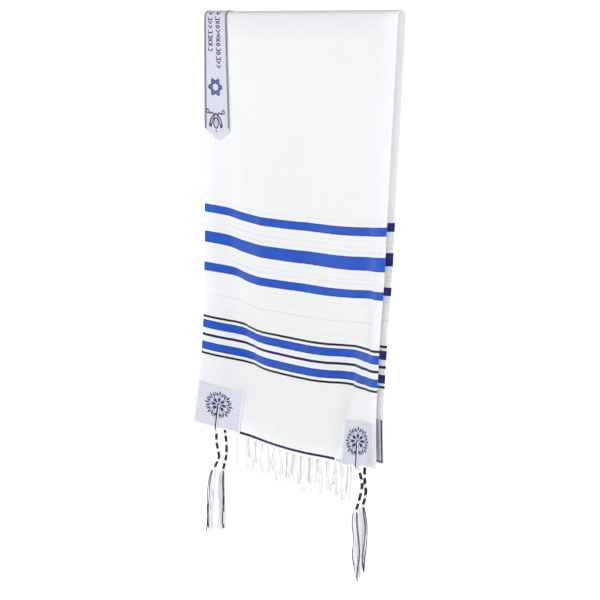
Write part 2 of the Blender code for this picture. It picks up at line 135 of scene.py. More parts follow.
# Fringe and tassels.
LOCKS = 17
STRANDS_IN_LOCK = 3
STRAND_SPACING = 0.0038
STRAND_WIDTH = 0.0027
STRIP_HEIGHT = 0.005
LOCK_FAN = 0.0012
LOCK_SWAY_ALONG = (-0.009, 0.007)
LOCK_SWAY_OUT = (-0.003, 0.003)
LOCK_LENGTHS = (0.88, 1.08)
STRAND_LENGTHS = (0.93, 1.0)
FRINGE_LENGTH = 0.076
FRINGE_START = 0.100
STRINGS = 8
STRING_LENGTH = 0.142
STRING_SPACING = 0.0039
STRING_DRIFT = 0.0006
STRING_ROOT = 0.003
SHORTEST_STRING = 0.90
CORD_THICKNESS = 0.0024
CORD_CLEARANCE = 0.0006
KNOT_RADIUS = 0.0040
WOUND_RADIUS = 0.0031
STEM_START = 0.004
STEM = (9, 13, 8, 12, 9, 15, 7, 12, 8)  # knots and windings by turns, mm
# The line that each tassel hangs along: (below the hem, along X, along Y), mm.
ROUTES = {
    "front_left": (
        (0, -3, -3), (14, 0, 0), (30, 0, 0), (54, 3, 3), (66, 4, 4), (84, -1, -1), (108, -6, -7),
        (172, -9, -11), (262, -12, -14),
    ),
    "back_left": (
        (0, -2, -2), (27, 0, 0), (54, 2, 2), (83, 1, 1), (107, -3, -3), (125, -5, -6),
        (184, -5, -6), (262, -6, -7),
    ),
    "front_right": (
        (0, 0, 0), (13, 4, 4), (38, 7, 8), (55, 6, 6), (78, 2, 2), (95, -1, -1), (153, 0, 0),
        (262, 1, 1),
    ),
    "back_right": (
        (0, 0, 0), (25, -1, -1), (50, 0, 0), (62, 1, 1), (81, -1, -1), (96, -4, -4),
        (134, -2, -2), (198, -4, -5), (262, -5, -6),
    ),
}
HEMS = {1: FRONT, -1: BACK}  # sign of v: the cloth from the top of the crown to that hem
CORNERS = {
    # name: (u of its eyelet, sign of v there)
    "front_left": (EYELET_ACROSS, 1),
    "front_right": (WIDTH - EYELET_ACROSS, 1),
    "back_left": (EYELET_ACROSS, -1),
    "back_right": (WIDTH - EYELET_ACROSS, -1),
}

# --- Sizes of what only shows here ---

SHELL = 0.0012  # the shown cloth's thickness
SELVEDGE = 0.006  # the denser border along both long edges
SELVEDGE_RISE = 0.00025
STITCH_RADIUS = 0.00032
LABEL_SELVEDGE = 0.005

# Stripes: (distance of the centre from the middle of the cloth's length, width, kind), mm. The
# kinds are the keys of STRIPE_COLOURS.
STRIPES = (
    (430.0, 18.0, "blue"),
    (495.0, 27.0, "blue"),
    (560.0, 18.0, "blue"),
    (671.0, 4.8, "black"),
    (687.5, 17.5, "blue"),
    (711.0, 5.6, "navy"),
    (735.0, 17.5, "blue"),
    (752.0, 4.8, "black"),
)
STRIPE_EDGE = 1.8 * MM  # the darker threads along a blue stripe's edges
STRIPE_SOFTNESS = 0.4 * MM
# The line woven beside each hem ends short of the corner labels, and its first threads are black.
HEM_LINE = 913.0 * MM
HEM_LINE_WIDTH = 6.4 * MM
HEM_LINE_START = 0.1175
HEM_LINE_STOP = 0.4215
HEM_LINE_TIP = 0.008
HEM_DASH_WIDTH = 3.4 * MM
HEM_LINE_DASHES = ((0.4325, 0.0050), (0.4455, 0.0095))  # (middle, length), past its stop
HEM_DASH_STRENGTH = 0.75
# Satin bands of the ground's own thread, which look a little greyer: (centre, width, strength).
SATIN = (
    (411.0, 4.0, 0.8),
    (450.0, 3.0, 0.5),
    (461.0, 5.0, 0.9),
    (472.5, 6.0, 1.0),
    (517.0, 3.0, 0.5),
    (529.0, 4.0, 0.9),
    (538.5, 6.0, 1.0),
    (582.0, 3.0, 0.5),
    (603.0, 3.0, 0.4),
    (620.0, 2.6, 2.4),
    (652.0, 4.0, 0.4),
)
SATIN_DEPTH = 0.58  # how far a band of strength 1 goes towards SHADE


# --- The cloth's form ---

ACROSS = np.linspace(0.0, WIDTH, 245)
STEP = ACROSS[1] - ACROSS[0]
NEAR = 0.003  # slopes along the cloth are taken over this much on either side
ROW_STEP = 0.001
BEYOND = 0.012  # the form is worked out this far past the hems
ALONG = np.arange(-BACK - BEYOND, FRONT + BEYOND, ROW_STEP)


def through(levels, values, at):
    """A smooth curve through the values at the levels (cubic, with the mean slope at each)."""
    last = len(levels) - 2
    i = min(max(int(np.searchsorted(levels, at)) - 1, 0), last)
    slopes = np.diff(values) / np.diff(levels)
    ends = np.concatenate([slopes[:1], (slopes[1:] + slopes[:-1]) / 2, slopes[-1:]])
    span = levels[i + 1] - levels[i]
    t = (at - levels[i]) / span
    return (
        values[i] * (1 + 2 * t) * (1 - t) ** 2
        + values[i + 1] * t * t * (3 - 2 * t)
        + span * t * (1 - t) * (ends[i] * (1 - t) - ends[i + 1] * t)
    )


def bells(folds, below):
    """Relief across the cloth of these folds, this far below the crown."""
    upper, hem_level = FOLD_LEVELS[1], FOLD_LEVELS[-1]
    drift = min(max((below - upper) / (hem_level - upper), 0.0), 1.0)
    relief = np.zeros_like(ACROSS)
    for _, middle, hem, half_width, *reliefs in folds:
        centre = middle + (hem - middle) * drift
        height = through(FOLD_LEVELS, [0, *reliefs], below)
        relief += height * MM * np.exp(-(((ACROSS / MM - centre) / half_width) ** 2))
    return relief


def relief_of(v):
    """Relief of one cross thread, towards the front."""
    below = abs(v) - QUARTER_TURN
    relief = bells(FOLDS, below)
    return relief if v > 0 else relief - bells(BACK_FOLDS, below)


def summed(values):
    return np.concatenate([[0.0], np.cumsum((values[1:] + values[:-1]) / 2 * STEP)])


def spread(relief):
    """x of one cross thread: its length stays, so folds draw its two ends in alike."""
    x = summed(np.sqrt(1 - np.gradient(relief, STEP) ** 2))
    return x - x[-1] / 2


def thread(v):
    """The places of the cloth's middle surface along the cross thread at v."""
    side = -1 if v > 0 else 1
    if abs(v) <= QUARTER_TURN:
        turn = abs(v) / CROWN_RADIUS
        y = side * CROWN_RADIUS * math.sin(turn)
        z = CROWN_RADIUS * math.cos(turn) - CROWN_DROP
        return np.stack([ACROSS - WIDTH / 2, np.full_like(ACROSS, y), np.full_like(ACROSS, z)], 1)
    here, above, under = (relief_of(v - side * step) for step in (0, -NEAR, NEAR))
    x = spread(here)
    # A fold that runs aslant lifts the thread that crosses it, so that the weave stays square.
    slant = np.gradient(here, STEP) * (under - above)
    slant += np.gradient(x, STEP) * (spread(under) - spread(above))
    lift = summed(slant / (2 * NEAR))
    below = abs(v) - QUARTER_TURN
    share = min(below / SAG_FULL_AT, 1.0)
    sag = SAG * (1 - np.abs(2 * ACROSS / WIDTH - 1) ** SAG_POWER) * share**2 * (3 - 2 * share)
    z = lift - lift[len(lift) // 2] - below - sag - CROWN_DROP
    return np.stack([x, side * CROWN_RADIUS - here, z], 1)


def normals_of(table):
    down = np.gradient(table, axis=0)
    across = np.gradient(table, axis=1)
    normals = np.cross(down, across)
    return normals / np.linalg.norm(normals, axis=2, keepdims=True)


def crease_relief():
    """Height of the soft creases over the whole cloth."""
    u, v = np.meshgrid(ACROSS / MM, ALONG / MM)
    relief = np.zeros_like(u)
    for middle_u, middle_v, length, half_width, lean, height in CREASES:
        turn = math.radians(lean)
        along = (v - middle_v) * math.cos(turn) + (u - middle_u) * math.sin(turn)
        beside = (u - middle_u) * math.cos(turn) - (v - middle_v) * math.sin(turn)
        taper = np.exp(-((2 * along / length) ** 4))
        relief += height * taper * np.exp(-((beside / half_width) ** 2))
    return relief * MM


FORM = np.stack([thread(v) for v in ALONG])
FORM += normals_of(FORM) * crease_relief()[:, :, None]
NORMALS = normals_of(FORM)


def sampled(table, u, v):
    """The table's rows at the places (u, v), by linear interpolation."""
    row = np.clip((v - ALONG[0]) / ROW_STEP, 0, len(ALONG) - 1.001)
    column = np.clip(u / STEP, 0, len(ACROSS) - 1.001)
    i, j = row.astype(int), column.astype(int)
    a, b = (row - i)[..., None], (column - j)[..., None]
    return (1 - a) * ((1 - b) * table[i, j] + b * table[i, j + 1]) + a * (
        (1 - b) * table[i + 1, j] + b * table[i + 1, j + 1]
    )


def on_cloth(u, v, lift=0.0):
    """Places on the cloth's middle surface, moved out along its normal."""
    u, v, lift = np.broadcast_arrays(*(np.asarray(x, float) for x in (u, v, lift)))
    return sampled(FORM, u, v) + sampled(NORMALS, u, v) * lift[..., None]


# --- Meshes ---

CLOTH_MAP = "cloth"  # the UV map that holds each point's (u, v)


class Shape:
    """Gathers points and faces for one object."""

    def __init__(self):
        self.points = []
        self.uvs = []
        self.faces = []
        self.slots = []
        self.count = 0

    def add_points(self, points, uvs=None):
        """Adds points of any shape (..., 3) and gives back their numbers in that shape."""
        points = np.asarray(points, float)
        flat = points.reshape(-1, 3)
        self.points.append(flat)
        self.uvs.append(np.zeros((len(flat), 2)) if uvs is None else np.reshape(uvs, (-1, 2)))
        first = self.count
        self.count += len(flat)
        return np.arange(first, self.count).reshape(points.shape[:-1])

    def add_faces(self, faces, slot=0):
        faces = np.asarray(faces).reshape(-1, np.shape(faces)[-1]).tolist()
        self.faces += faces
        self.slots += [slot] * len(faces)

    def add_rows(self, numbers, slot=0, flip=False, closed=False, keep=None):
        """Quads over a grid of point numbers. closed joins its last column to its first."""
        numbers = np.asarray(numbers)
        if closed:
            numbers = np.concatenate([numbers, numbers[:, :1]], 1)
        quads = np.stack(
            [numbers[:-1, :-1], numbers[:-1, 1:], numbers[1:, 1:], numbers[1:, :-1]], -1
        )
        quads = quads if keep is None else quads[keep]
        self.add_faces(quads[..., ::-1] if flip else quads, slot)

    def add_tube(self, path, radii, sides, slot=0):
        """A closed tube along a path."""
        path = np.asarray(path, float)
        ways = np.gradient(path, axis=0)
        ways /= np.linalg.norm(ways, axis=1, keepdims=True)
        axis = np.cross(ways[0], (0, 0, 1) if abs(ways[0][2]) < 0.9 else (1, 0, 0))
        firsts = []
        for way in ways:
            axis = axis - way * (axis @ way)
            axis = axis / np.linalg.norm(axis)
            firsts.append(axis)
        firsts = np.array(firsts)
        seconds = np.cross(ways, firsts)
        turns = (np.arange(sides) * 2 * math.pi / sides)[:, None]
        radii = np.broadcast_to(radii, len(path))[:, None, None]
        beside = np.cos(turns) * firsts[:, None] + np.sin(turns) * seconds[:, None]
        numbers = self.add_points(path[:, None] + radii * beside)
        self.add_rows(numbers, slot, closed=True)
        self.add_faces([numbers[0][::-1]], slot)
        self.add_faces([numbers[-1]], slot)

    def build(self, name, finishes, replaces=None, smooth_below=50):
        """Makes the object, which rides on the part's one body. replaces names a node of it."""
        points = np.concatenate(self.points)
        data = bpy.data.meshes.new(name)
        data.from_pydata(points.tolist(), [], self.faces)
        data.polygons.foreach_set("material_index", self.slots)
        corners = np.zeros(len(data.loops), np.int32)
        data.loops.foreach_get("vertex_index", corners)
        uvs = np.concatenate(self.uvs)[corners]
        data.uv_layers.new(name=CLOTH_MAP).uv.foreach_set("vector", uvs.astype(np.float32).ravel())
        for finish in finishes:
            data.materials.append(finish)
        data.validate()
        data.shade_smooth()
        data.set_sharp_from_angle(angle=math.radians(smooth_below))
        made = bpy.data.objects.new(name, data)
        bpy.context.scene.collection.objects.link(made)
        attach(made, "root")
        if replaces:
            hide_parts(replaces)
        return made


def lines(stops, steps):
    """Places from the first stop to the last, no further apart than that stretch's step."""
    places = []
    for start, stop, step in zip(stops, stops[1:], steps):
        count = max(1, round(abs(stop - start) / step))
        places += [start + (stop - start) * i / count for i in range(count)]
    return np.array([*places, stops[-1]])


def smoothed(points, count):
    """Places evenly along a smooth curve through the points (Catmull-Rom)."""
    points = np.asarray(points)
    padded = np.concatenate([[2 * points[0] - points[1]], points, [2 * points[-1] - points[-2]]])
    found = []
    for at in np.linspace(0, len(points) - 1 - 1e-9, count):
        i, t = int(at), at - int(at)
        a, b, c, d = padded[i : i + 4]
        curved = (2 * a - 5 * b + 4 * c - d) * t**2 + (3 * b - a - 3 * c + d) * t**3
        found.append(0.5 * (2 * b + (c - a) * t + curved))
    return np.array(found)


def add_shell(shape, u, v, low, high, eyelets=(), slots=(0, 0), origin=(0.0, 0.0)):
    """A closed thin shell over grids of u and v, between two lifts, with round eyelets.

    Each eyelet's cell, a square of EYELET_CELL round its middle, has its edges on grid lines.
    """
    uvs = np.stack([u - origin[0], v - origin[1]], -1)
    skins = [shape.add_points(on_cloth(u, v, lift), uvs) for lift in (high, low)]
    middle_u = (u[:-1, :-1] + u[1:, 1:]) / 2
    middle_v = (v[:-1, :-1] + v[1:, 1:]) / 2
    keep = np.ones_like(middle_u, bool)
    for eyelet_u, eyelet_v in eyelets:
        inside = abs(middle_u - eyelet_u) < EYELET_CELL / 2
        inside &= abs(middle_v - eyelet_v) < EYELET_CELL / 2
        keep &= ~inside
        rows, columns = np.nonzero(inside)
        top, bottom, left, right = rows.min(), rows.max() + 1, columns.min(), columns.max() + 1
        border = [(top, c) for c in range(left, right)] + [(r, right) for r in range(top, bottom)]
        border += [(bottom, c) for c in range(right, left, -1)]
        border += [(r, left) for r in range(bottom, top, -1)]
        at = tuple(np.array(border).T)
        turns = np.arctan2(v[at] - eyelet_v, u[at] - eyelet_u)
        rims = []
        for skin, lift, flip in zip(skins, (high, low), (True, False)):
            level = float(np.broadcast_to(lift, u.shape)[at].mean())
            rings = [skin[at]]
            for share in (0.5, 1.0):
                rim_u = eyelet_u + EYELET_RADIUS * np.cos(turns)
                rim_v = eyelet_v + EYELET_RADIUS * np.sin(turns)
                ring_u = u[at] + (rim_u - u[at]) * share
                ring_v = v[at] + (rim_v - v[at]) * share
                ring_uvs = np.stack([ring_u - origin[0], ring_v - origin[1]], -1)
                rings.append(shape.add_points(on_cloth(ring_u, ring_v, level), ring_uvs))
            shape.add_rows(rings, slots[0 if flip else 1], flip=flip, closed=True)
            rims.append(rings[-1])
        shape.add_rows(rims, slots[0], flip=True, closed=True)
    shape.add_rows(skins[0], slots[0], flip=True, keep=keep)
    shape.add_rows(skins[1], slots[1], keep=keep)
    edges = []
    for skin in skins:
        edge = [skin[0, :-1], skin[:-1, -1], skin[-1, :0:-1], skin[:0:-1, 0]]
        edges.append(np.concatenate(edge))
    shape.add_rows(edges, slots[0], closed=True)


# --- Nodes ---


class Wire:
    """A node's output. Arithmetic with wires and numbers adds math nodes."""

    def __init__(self, socket):
        self.socket = socket

    def math(self, operation, *values):
        inputs = dict(enumerate((self, *values)))
        return add_node(self.socket.id_data, "Math", inputs, operation=operation)

    def __add__(self, other):
        return self.math("ADD", other)

    def __sub__(self, other):
        return self.math("SUBTRACT", other)

    def __rsub__(self, other):
        return self * -1.0 + other

    def __mul__(self, other):
        return self.math("MULTIPLY", other)

    def __abs__(self):
        return self.math("ABSOLUTE")

    def clamp(self):
        """Keeps it from 0 to 1. Its node must be a math node of its own."""
        self.socket.node.use_clamp = True
        return self


def plug(socket, value):
    """Links a wire into a socket, or sets it to a plain value."""
    if isinstance(value, Wire):
        socket.id_data.links.new(value.socket, socket)
    else:
        socket.default_value = (*value, 1.0) if socket.type == "RGBA" else value


def add_node(tree, kind, inputs, out=0, **settings):
    """Adds a node and gives back one of its outputs, by number or name."""
    made = tree.nodes.new("ShaderNode" + kind)
    for key, value in settings.items():
        setattr(made, key, value)
    for key, value in inputs.items():
        plug(made.inputs[key], value)
    return Wire(made.outputs[out])


def mix(share, below, above):
    """From one colour (share 0) to the other (1)."""
    inputs = {0: share, 6: below, 7: above}
    return add_node(share.socket.id_data, "Mix", inputs, out=2, data_type="RGBA")


def noise(place, scales, detail=2.0):
    """Soft noise from 0 to 1, with about this many lumps to the metre along each axis."""
    tree = place.socket.id_data
    scaled = add_node(tree, "VectorMath", {0: place, 1: scales}, operation="MULTIPLY")
    return add_node(tree, "TexNoise", {"Vector": scaled, "Scale": 1.0, "Detail": detail})


def distance_along(place, way):
    """How far a place lies along a direction."""
    inputs = {0: place, 1: way}
    tree = place.socket.id_data
    return add_node(tree, "VectorMath", inputs, out="Value", operation="DOT_PRODUCT")


def mapped(value, start, stop, low, high, **settings):
    """low where the value is at start, to high where it is at stop."""
    ends = {"From Min": start, "From Max": stop, "To Min": low, "To Max": high}
    tree = value.socket.id_data
    return add_node(tree, "MapRange", {"Value": value, **ends}, out="Result", **settings)


def band(place, centre, width, softness):
    """1 inside a band of this width round the centre, 0 outside it."""
    return (abs(place - centre) * (-1 / softness) + (width / 2 / softness + 0.5)).clamp()


def wave(place, pitch):
    """A wave from 0 to 1 that repeats every pitch."""
    return (place * (2 * math.pi / pitch)).math("SINE") * 0.5 + 0.5


def weave(u, v, pitch):
    """Height of a plain weave: threads along v and along u that pass over each other."""
    over = wave(u, pitch) * wave(v, 2 * pitch)
    return over.math("MAXIMUM", wave(v, pitch) * (1.0 - wave(u, 2 * pitch)))


def scaled_colour(colour, scale):
    return tuple(scale * x for x in colour)


class Finish:
    """One Principled material. Its inputs are wires or plain values."""

    def __init__(self, name, roughness, sheen=0.0):
        self.material = bpy.data.materials.new(name)
        self.material.use_nodes = True
        self.tree = self.material.node_tree
        self.set_input("Roughness", roughness)
        self.set_input("Sheen Weight", sheen)
        self.set_input("Sheen Roughness", 0.5)

    def set_input(self, name, value):
        plug(self.tree.nodes["Principled BSDF"].inputs[name], value)

    def cloth_place(self):
        """The UV map's vector, u and v."""
        vector = add_node(self.tree, "UVMap", {}, uv_map=CLOTH_MAP)
        return vector, *(add_node(self.tree, "SeparateXYZ", {0: vector}, out=i) for i in (0, 1))

    def done(self, colour, height, distance, strength):
        """The material, with this colour and this relief."""
        inputs = {"Height": height, "Distance": distance, "Strength": strength}
        self.set_input("Base Color", colour)
        self.set_input("Normal", add_node(self.tree, "Bump", inputs))
        return self.material


# --- Materials ---

WHITE = (0.856, 0.876, 0.902)
# Painted light: the inner faces' white is lighter than WHITE, to brighten the shaded gap between
# the panels.
LIT_WHITE_INSIDE = (0.940, 0.950, 0.965)
WHITE_LUMPS = 1.03  # how much brighter the ground's cloudy patches are
SHADE = (0.685, 0.706, 0.738)  # the ground where its threads or a satin band dull it
PAINTED_SHADE = (0.670, 0.690, 0.728)  # painted shade: greyer by the side edges and over the fold at the crown
# How far in from the side edges, and down past the crown, the painted shade fades out
PAINTED_SHADE_EDGE = 0.085
PAINTED_SHADE_FOLD = 0.050
PAINTED_SHADE_DEPTH = 0.8  # strength of the painted shade at the very edges and at the fold, on the right side
STREAKS = 0.25  # how much darker the streaks of a blue stripe are
WRONG_SIDE_STREAKS = 0.35
SELVEDGE_WHITE = (0.90, 0.91, 0.92)
LAVENDER = (0.528, 0.549, 0.630)
LAVENDER_DARK = (0.400, 0.415, 0.560)
LAVENDER_PALE = (0.74, 0.755, 0.82)
LAVENDER_CLOUD = (0.72, 0.735, 0.82)
FACING = ((0.50, 0.50, 0.63), (0.64, 0.64, 0.76))  # the ends of its grain
FACING_PALE = (0.98, 0.98, 1.0)
FACING_DARK = (0.025, 0.025, 0.055)
PALE_LINE = (0.0058, 0.0050, 0.0012)  # (distance from the facing's side, width, softness)
DARK_LINE = (0.0005, 0.0050, 0.0010)  # the same from its nearest edge
BORDER = (0.200, 0.195, 0.245)
YARN = (0.880, 0.883, 0.895)
STRING_WHITE = (0.895, 0.903, 0.965)
BLACK = (0.005, 0.005, 0.007)
NAVY = (0.014, 0.022, 0.200)
# Threads: name: (darkest, lightest, sheen).
THREADS = {
    "fringe_yarn": (scaled_colour(YARN, 0.88), YARN, 0.2),
    "white_string": (scaled_colour(STRING_WHITE, 0.86), STRING_WHITE, 0.2),
    "black_string": (BLACK, scaled_colour(BLACK, 2.5), 0.0),
    "navy_stitching": (scaled_colour(NAVY, 0.7), NAVY, 0.0),
    "dark_stitching": ((0.008, 0.008, 0.030), (0.016, 0.016, 0.055), 0.0),
    "pale_stitching": ((0.25, 0.28, 0.62), (0.36, 0.39, 0.72), 0.0),
    "border_stitching": (scaled_colour(BORDER, 0.8), BORDER, 0.0),
    "sewing_thread": ((0.70, 0.71, 0.78), (0.80, 0.81, 0.87), 0.2),
}
STRIPE_COLOURS = {
    # kind: (middle, edge) on the right side
    "blue": ((0.003, 0.080, 0.530), (0.004, 0.022, 0.200)),
    "navy": ((0.008, 0.012, 0.120), (0.008, 0.010, 0.080)),
    "black": ((0.008, 0.007, 0.014), (0.010, 0.009, 0.018)),
}
WRONG_SIDE_COLOURS = {
    "blue": ((0.020, 0.020, 0.230), (0.012, 0.010, 0.090)),
    "navy": ((0.012, 0.010, 0.080), (0.012, 0.010, 0.060)),
    "black": ((0.010, 0.009, 0.018), (0.010, 0.009, 0.018)),
}
WOOL_ROUGHNESS = 0.84
STRIPE_SMOOTHER = 0.30  # how much less rough a blue stripe is
WOOL_INPUTS = {
    "Specular IOR Level": 0.2,
    "Subsurface Weight": 0.8,
    "Subsurface Radius": (1.0, 1.0, 1.0),
    "Subsurface Scale": 0.0054,
}
WOOL_WEAVE = 1.1 * MM  # pitch of its threads
WOOL_RIBS = 1.0 * MM  # pitch of the ribs in a blue stripe
TWILL = 1.5 * MM
LABEL_DOTS = 3.6 * MM
FACING_WEAVE = 1.0 * MM
CLOTH_BUMP = (0.00012, 0.6)  # (height, strength)
FACING_BUMP = (0.0001, 0.6)
THREAD_BUMP = (0.0003, 0.5)


def striped_wool(name, white, colours, streak_depth, shade_depth):
    """The shawl's cloth: a plain white ground with woven stripes."""
    finish = Finish(name, WOOL_ROUGHNESS, sheen=0.08)
    for key, value in WOOL_INPUTS.items():
        finish.set_input(key, value)
    vector, u, v = finish.cloth_place()
    fine = noise(vector, (700, 700, 0))
    cloudy = noise(vector, (14, 9, 0))
    weft_streaks = noise(vector, (18, 1100, 0), detail=3.0)
    warp_streaks = noise(vector, (900, 10, 0), detail=3.0)
    uneven = (noise(vector, (9, 160, 0), detail=3.0) * 2.4 - 0.55).clamp()
    waver = noise(vector, (60, 4, 0)) * MM - MM / 2
    place = abs(v - FRONT_EXTRA) + waver

    ground = mix(cloudy, white, scaled_colour(white, WHITE_LUMPS))
    dull = weft_streaks * 0.5 + warp_streaks * 0.4
    ground = mix(dull * 0.35, ground, SHADE)
    for centre, width, strength in SATIN:
        mask = band(place, centre * MM, width * MM, 2 * MM) * uneven
        ground = mix((mask * (SATIN_DEPTH * strength)).clamp(), ground, SHADE)
    edge = u.math("MINIMUM", WIDTH - u)
    # Painted shade: the ground greys towards the side edges and towards the fold at the crown.
    shade_by_edge = (edge * (-shade_depth / PAINTED_SHADE_EDGE) + shade_depth).clamp()
    at_fold = shade_depth * (1 + QUARTER_TURN / PAINTED_SHADE_FOLD)
    shade_by_fold = (abs(v) * (-shade_depth / PAINTED_SHADE_FOLD) + at_fold).clamp()
    ground = mix(shade_by_edge.math("MAXIMUM", shade_by_fold), ground, PAINTED_SHADE)
    ground = mix(edge.math("LESS_THAN", SELVEDGE) * 0.10, ground, SELVEDGE_WHITE)

    colour, sheen = ground, 0.0
    for centre, width, kind in STRIPES:
        middle, border = colours[kind]
        whole = band(place, centre * MM, width * MM, STRIPE_SOFTNESS)
        colour = mix(whole, colour, border)
        if kind == "blue":
            inner_width = width * MM - 2 * STRIPE_EDGE
            inner = band(place, centre * MM, inner_width, 2 * STRIPE_SOFTNESS)
            streaked = mix(weft_streaks, scaled_colour(middle, 1 - streak_depth), middle)
            colour = mix(inner, colour, streaked)
            sheen = inner.math("MAXIMUM", sheen)
    line = band(place, HEM_LINE, HEM_LINE_WIDTH, STRIPE_SOFTNESS)
    thin = band(place, HEM_LINE, HEM_DASH_WIDTH, STRIPE_SOFTNESS)
    middle, reach = (HEM_LINE_START + HEM_LINE_STOP) / 2, HEM_LINE_STOP - HEM_LINE_START
    line = line * band(u, middle, reach, MM)
    for at, length in HEM_LINE_DASHES:
        line = line.math("MAXIMUM", thin * (band(u, at, length, MM) * HEM_DASH_STRENGTH))
    tip = band(u, HEM_LINE_START, 2 * HEM_LINE_TIP, 4 * MM)
    colour = mix(line, colour, mix(tip, colours["navy"][0], colours["black"][0]))
    finish.set_input("Roughness", sheen * -STRIPE_SMOOTHER + WOOL_ROUGHNESS)
    threads = fine * 0.35 + weave(u, v, WOOL_WEAVE)
    streaks = weft_streaks * 0.6 + warp_streaks * 0.5
    height = threads + streaks + wave(place, WOOL_RIBS) * sheen
    return finish.done(colour, height, *CLOTH_BUMP)


def jacquard(name, dotted):
    """The lavender-white cloth of the neck band and, dotted, of the corner labels."""
    finish = Finish(name, roughness=0.55, sheen=0.15)
    vector, u, v = finish.cloth_place()
    grain = noise(vector, (900, 300, 0), detail=3.0)
    cloudy = noise(vector, (40, 40, 0))
    twill = wave(u + v, TWILL)
    colour = mix(grain * 0.45, LAVENDER, scaled_colour(LAVENDER, 0.88))
    colour = mix(cloudy * 0.35, colour, LAVENDER_CLOUD)
    if dotted:
        dots = wave(u, LABEL_DOTS) * wave(v, LABEL_DOTS)
        mask = (dots * 3.0 - 1.5).clamp()
        mottle = (noise(vector, (210, 210, 0)) * 3.0 - 1.1).clamp()
        colour = mix(mottle * 0.40, colour, LAVENDER_PALE)
        patchy = noise(vector, (120, 120, 0), detail=3.0) * 1.6 + 0.1
        plain = abs(u).math("GREATER_THAN", PATCH_WIDTH / 2 - LABEL_SELVEDGE)
        mask = mask * patchy * (1.0 - plain)
        colour = mix(plain * 0.6, colour, LAVENDER_PALE)
    else:
        mask = twill * 0.22
    colour = mix((mask * 0.80).clamp(), colour, LAVENDER_DARK)
    return finish.done(colour, twill + grain + mask, *CLOTH_BUMP)


def bordered_facing():
    """The corner facings: a greyish cloth with a pale and then a dark line along its edges."""
    finish = Finish("bordered_facing", roughness=0.85, sheen=0.1)
    vector, u, v = finish.cloth_place()
    colour = mix(noise(vector, (500, 500, 0)), *FACING)
    to_side = PATCH_WIDTH / 2 - abs(u)
    to_hem = PATCH_HEIGHT / 2 + EYELET_RAISED - abs(v)
    colour = mix(band(to_side, *PALE_LINE), colour, FACING_PALE)
    to_edge = to_side.math("MINIMUM", to_hem)
    colour = mix(band(to_edge, *DARK_LINE), colour, FACING_DARK)
    return finish.done(colour, weave(u, v, FACING_WEAVE), *FACING_BUMP)


def thread_finish(name):
    """A spun thread, with fibres that run along Z."""
    dark, light, sheen = THREADS[name]
    finish = Finish(name, roughness=0.8, sheen=sheen)
    place = add_node(finish.tree, "TexCoord", {}, out="Object")
    fibres = noise(place, (1500, 1500, 300), detail=3.0)
    return finish.done(mix(fibres, dark, light), fibres, *THREAD_BUMP)


# --- Woven pieces ---

CLOTH_STEP = 0.0056  # the shown cloth's grid
PANEL_STEP = CLOTH_STEP * 0.88  # down its panels
CROWN_STEP = 0.0022
CELL_STEP = EYELET_CELL / 4
LABEL_STEP = 0.0033
BAND_STEP = 0.003  # across the neck band
BAND_STEPS = (0.004, 0.002, 0.004)  # down its back, over the crown and down its front
POINT_ROWS = 6


def eyelet_of(corner):
    """(u, v) of a corner's eyelet."""
    u, side = CORNERS[corner]
    return u, side * (HEMS[side] - EYELET_UP)


def shawl_cloth(finishes):
    half = EYELET_CELL / 2
    stops = [0.0, SELVEDGE, EYELET_ACROSS - half, EYELET_ACROSS + half]
    stops += [WIDTH - place for place in reversed(stops)]
    steps = [SELVEDGE / 2, CLOTH_STEP, CELL_STEP]
    us = lines(stops, [*steps, CLOTH_STEP, *reversed(steps)])
    stops = [-BACK, EYELET_UP - BACK - half, EYELET_UP - BACK + half, -QUARTER_TURN]
    stops += [QUARTER_TURN, FRONT - EYELET_UP - half, FRONT - EYELET_UP + half, FRONT]
    steps = [CLOTH_STEP, CELL_STEP, PANEL_STEP]
    vs = lines(stops, [*steps, CROWN_STEP, *reversed(steps)])
    u, v = np.meshgrid(us, vs)
    edge = np.minimum(u, WIDTH - u)
    rise = SELVEDGE_RISE * (edge < SELVEDGE * 0.75) * (edge > 0)
    shape = Shape()
    eyelets = [eyelet_of(corner) for corner in CORNERS]
    add_shell(shape, u, v, -SHELL / 2 - rise, SHELL / 2 + rise, eyelets, slots=(0, 1))
    return shape.build("shawl_cloth", finishes, replaces="shawl")


def atarah_band(finish):
    """The neck band: a straight strip over the crown with a point at each end."""
    us = lines([PATCH_INSET, PATCH_INSET + ATARAH_WIDTH], [BAND_STEP])
    stops = [-ATARAH_SHOULDER, -QUARTER_TURN, QUARTER_TURN, ATARAH_SHOULDER]
    share = 1 - abs(us - ATARAH_MIDDLE) / (ATARAH_WIDTH / 2)
    reach = POINT_LEDGE + ATARAH_POINT * share
    ends = [ATARAH_SHOULDER + reach * (row + 1) / POINT_ROWS for row in range(POINT_ROWS)]
    rows = [np.full_like(us, x) for x in lines(stops, BAND_STEPS)]
    v = np.array([*(-end for end in reversed(ends)), *rows, *ends])
    u = np.broadcast_to(us, v.shape)
    shape = Shape()
    add_shell(shape, u, v, PATCH_SEAT, ATARAH_TOP, origin=(ATARAH_MIDDLE, 0.0))
    return shape.build("atarah_band", [finish], replaces="atarah")


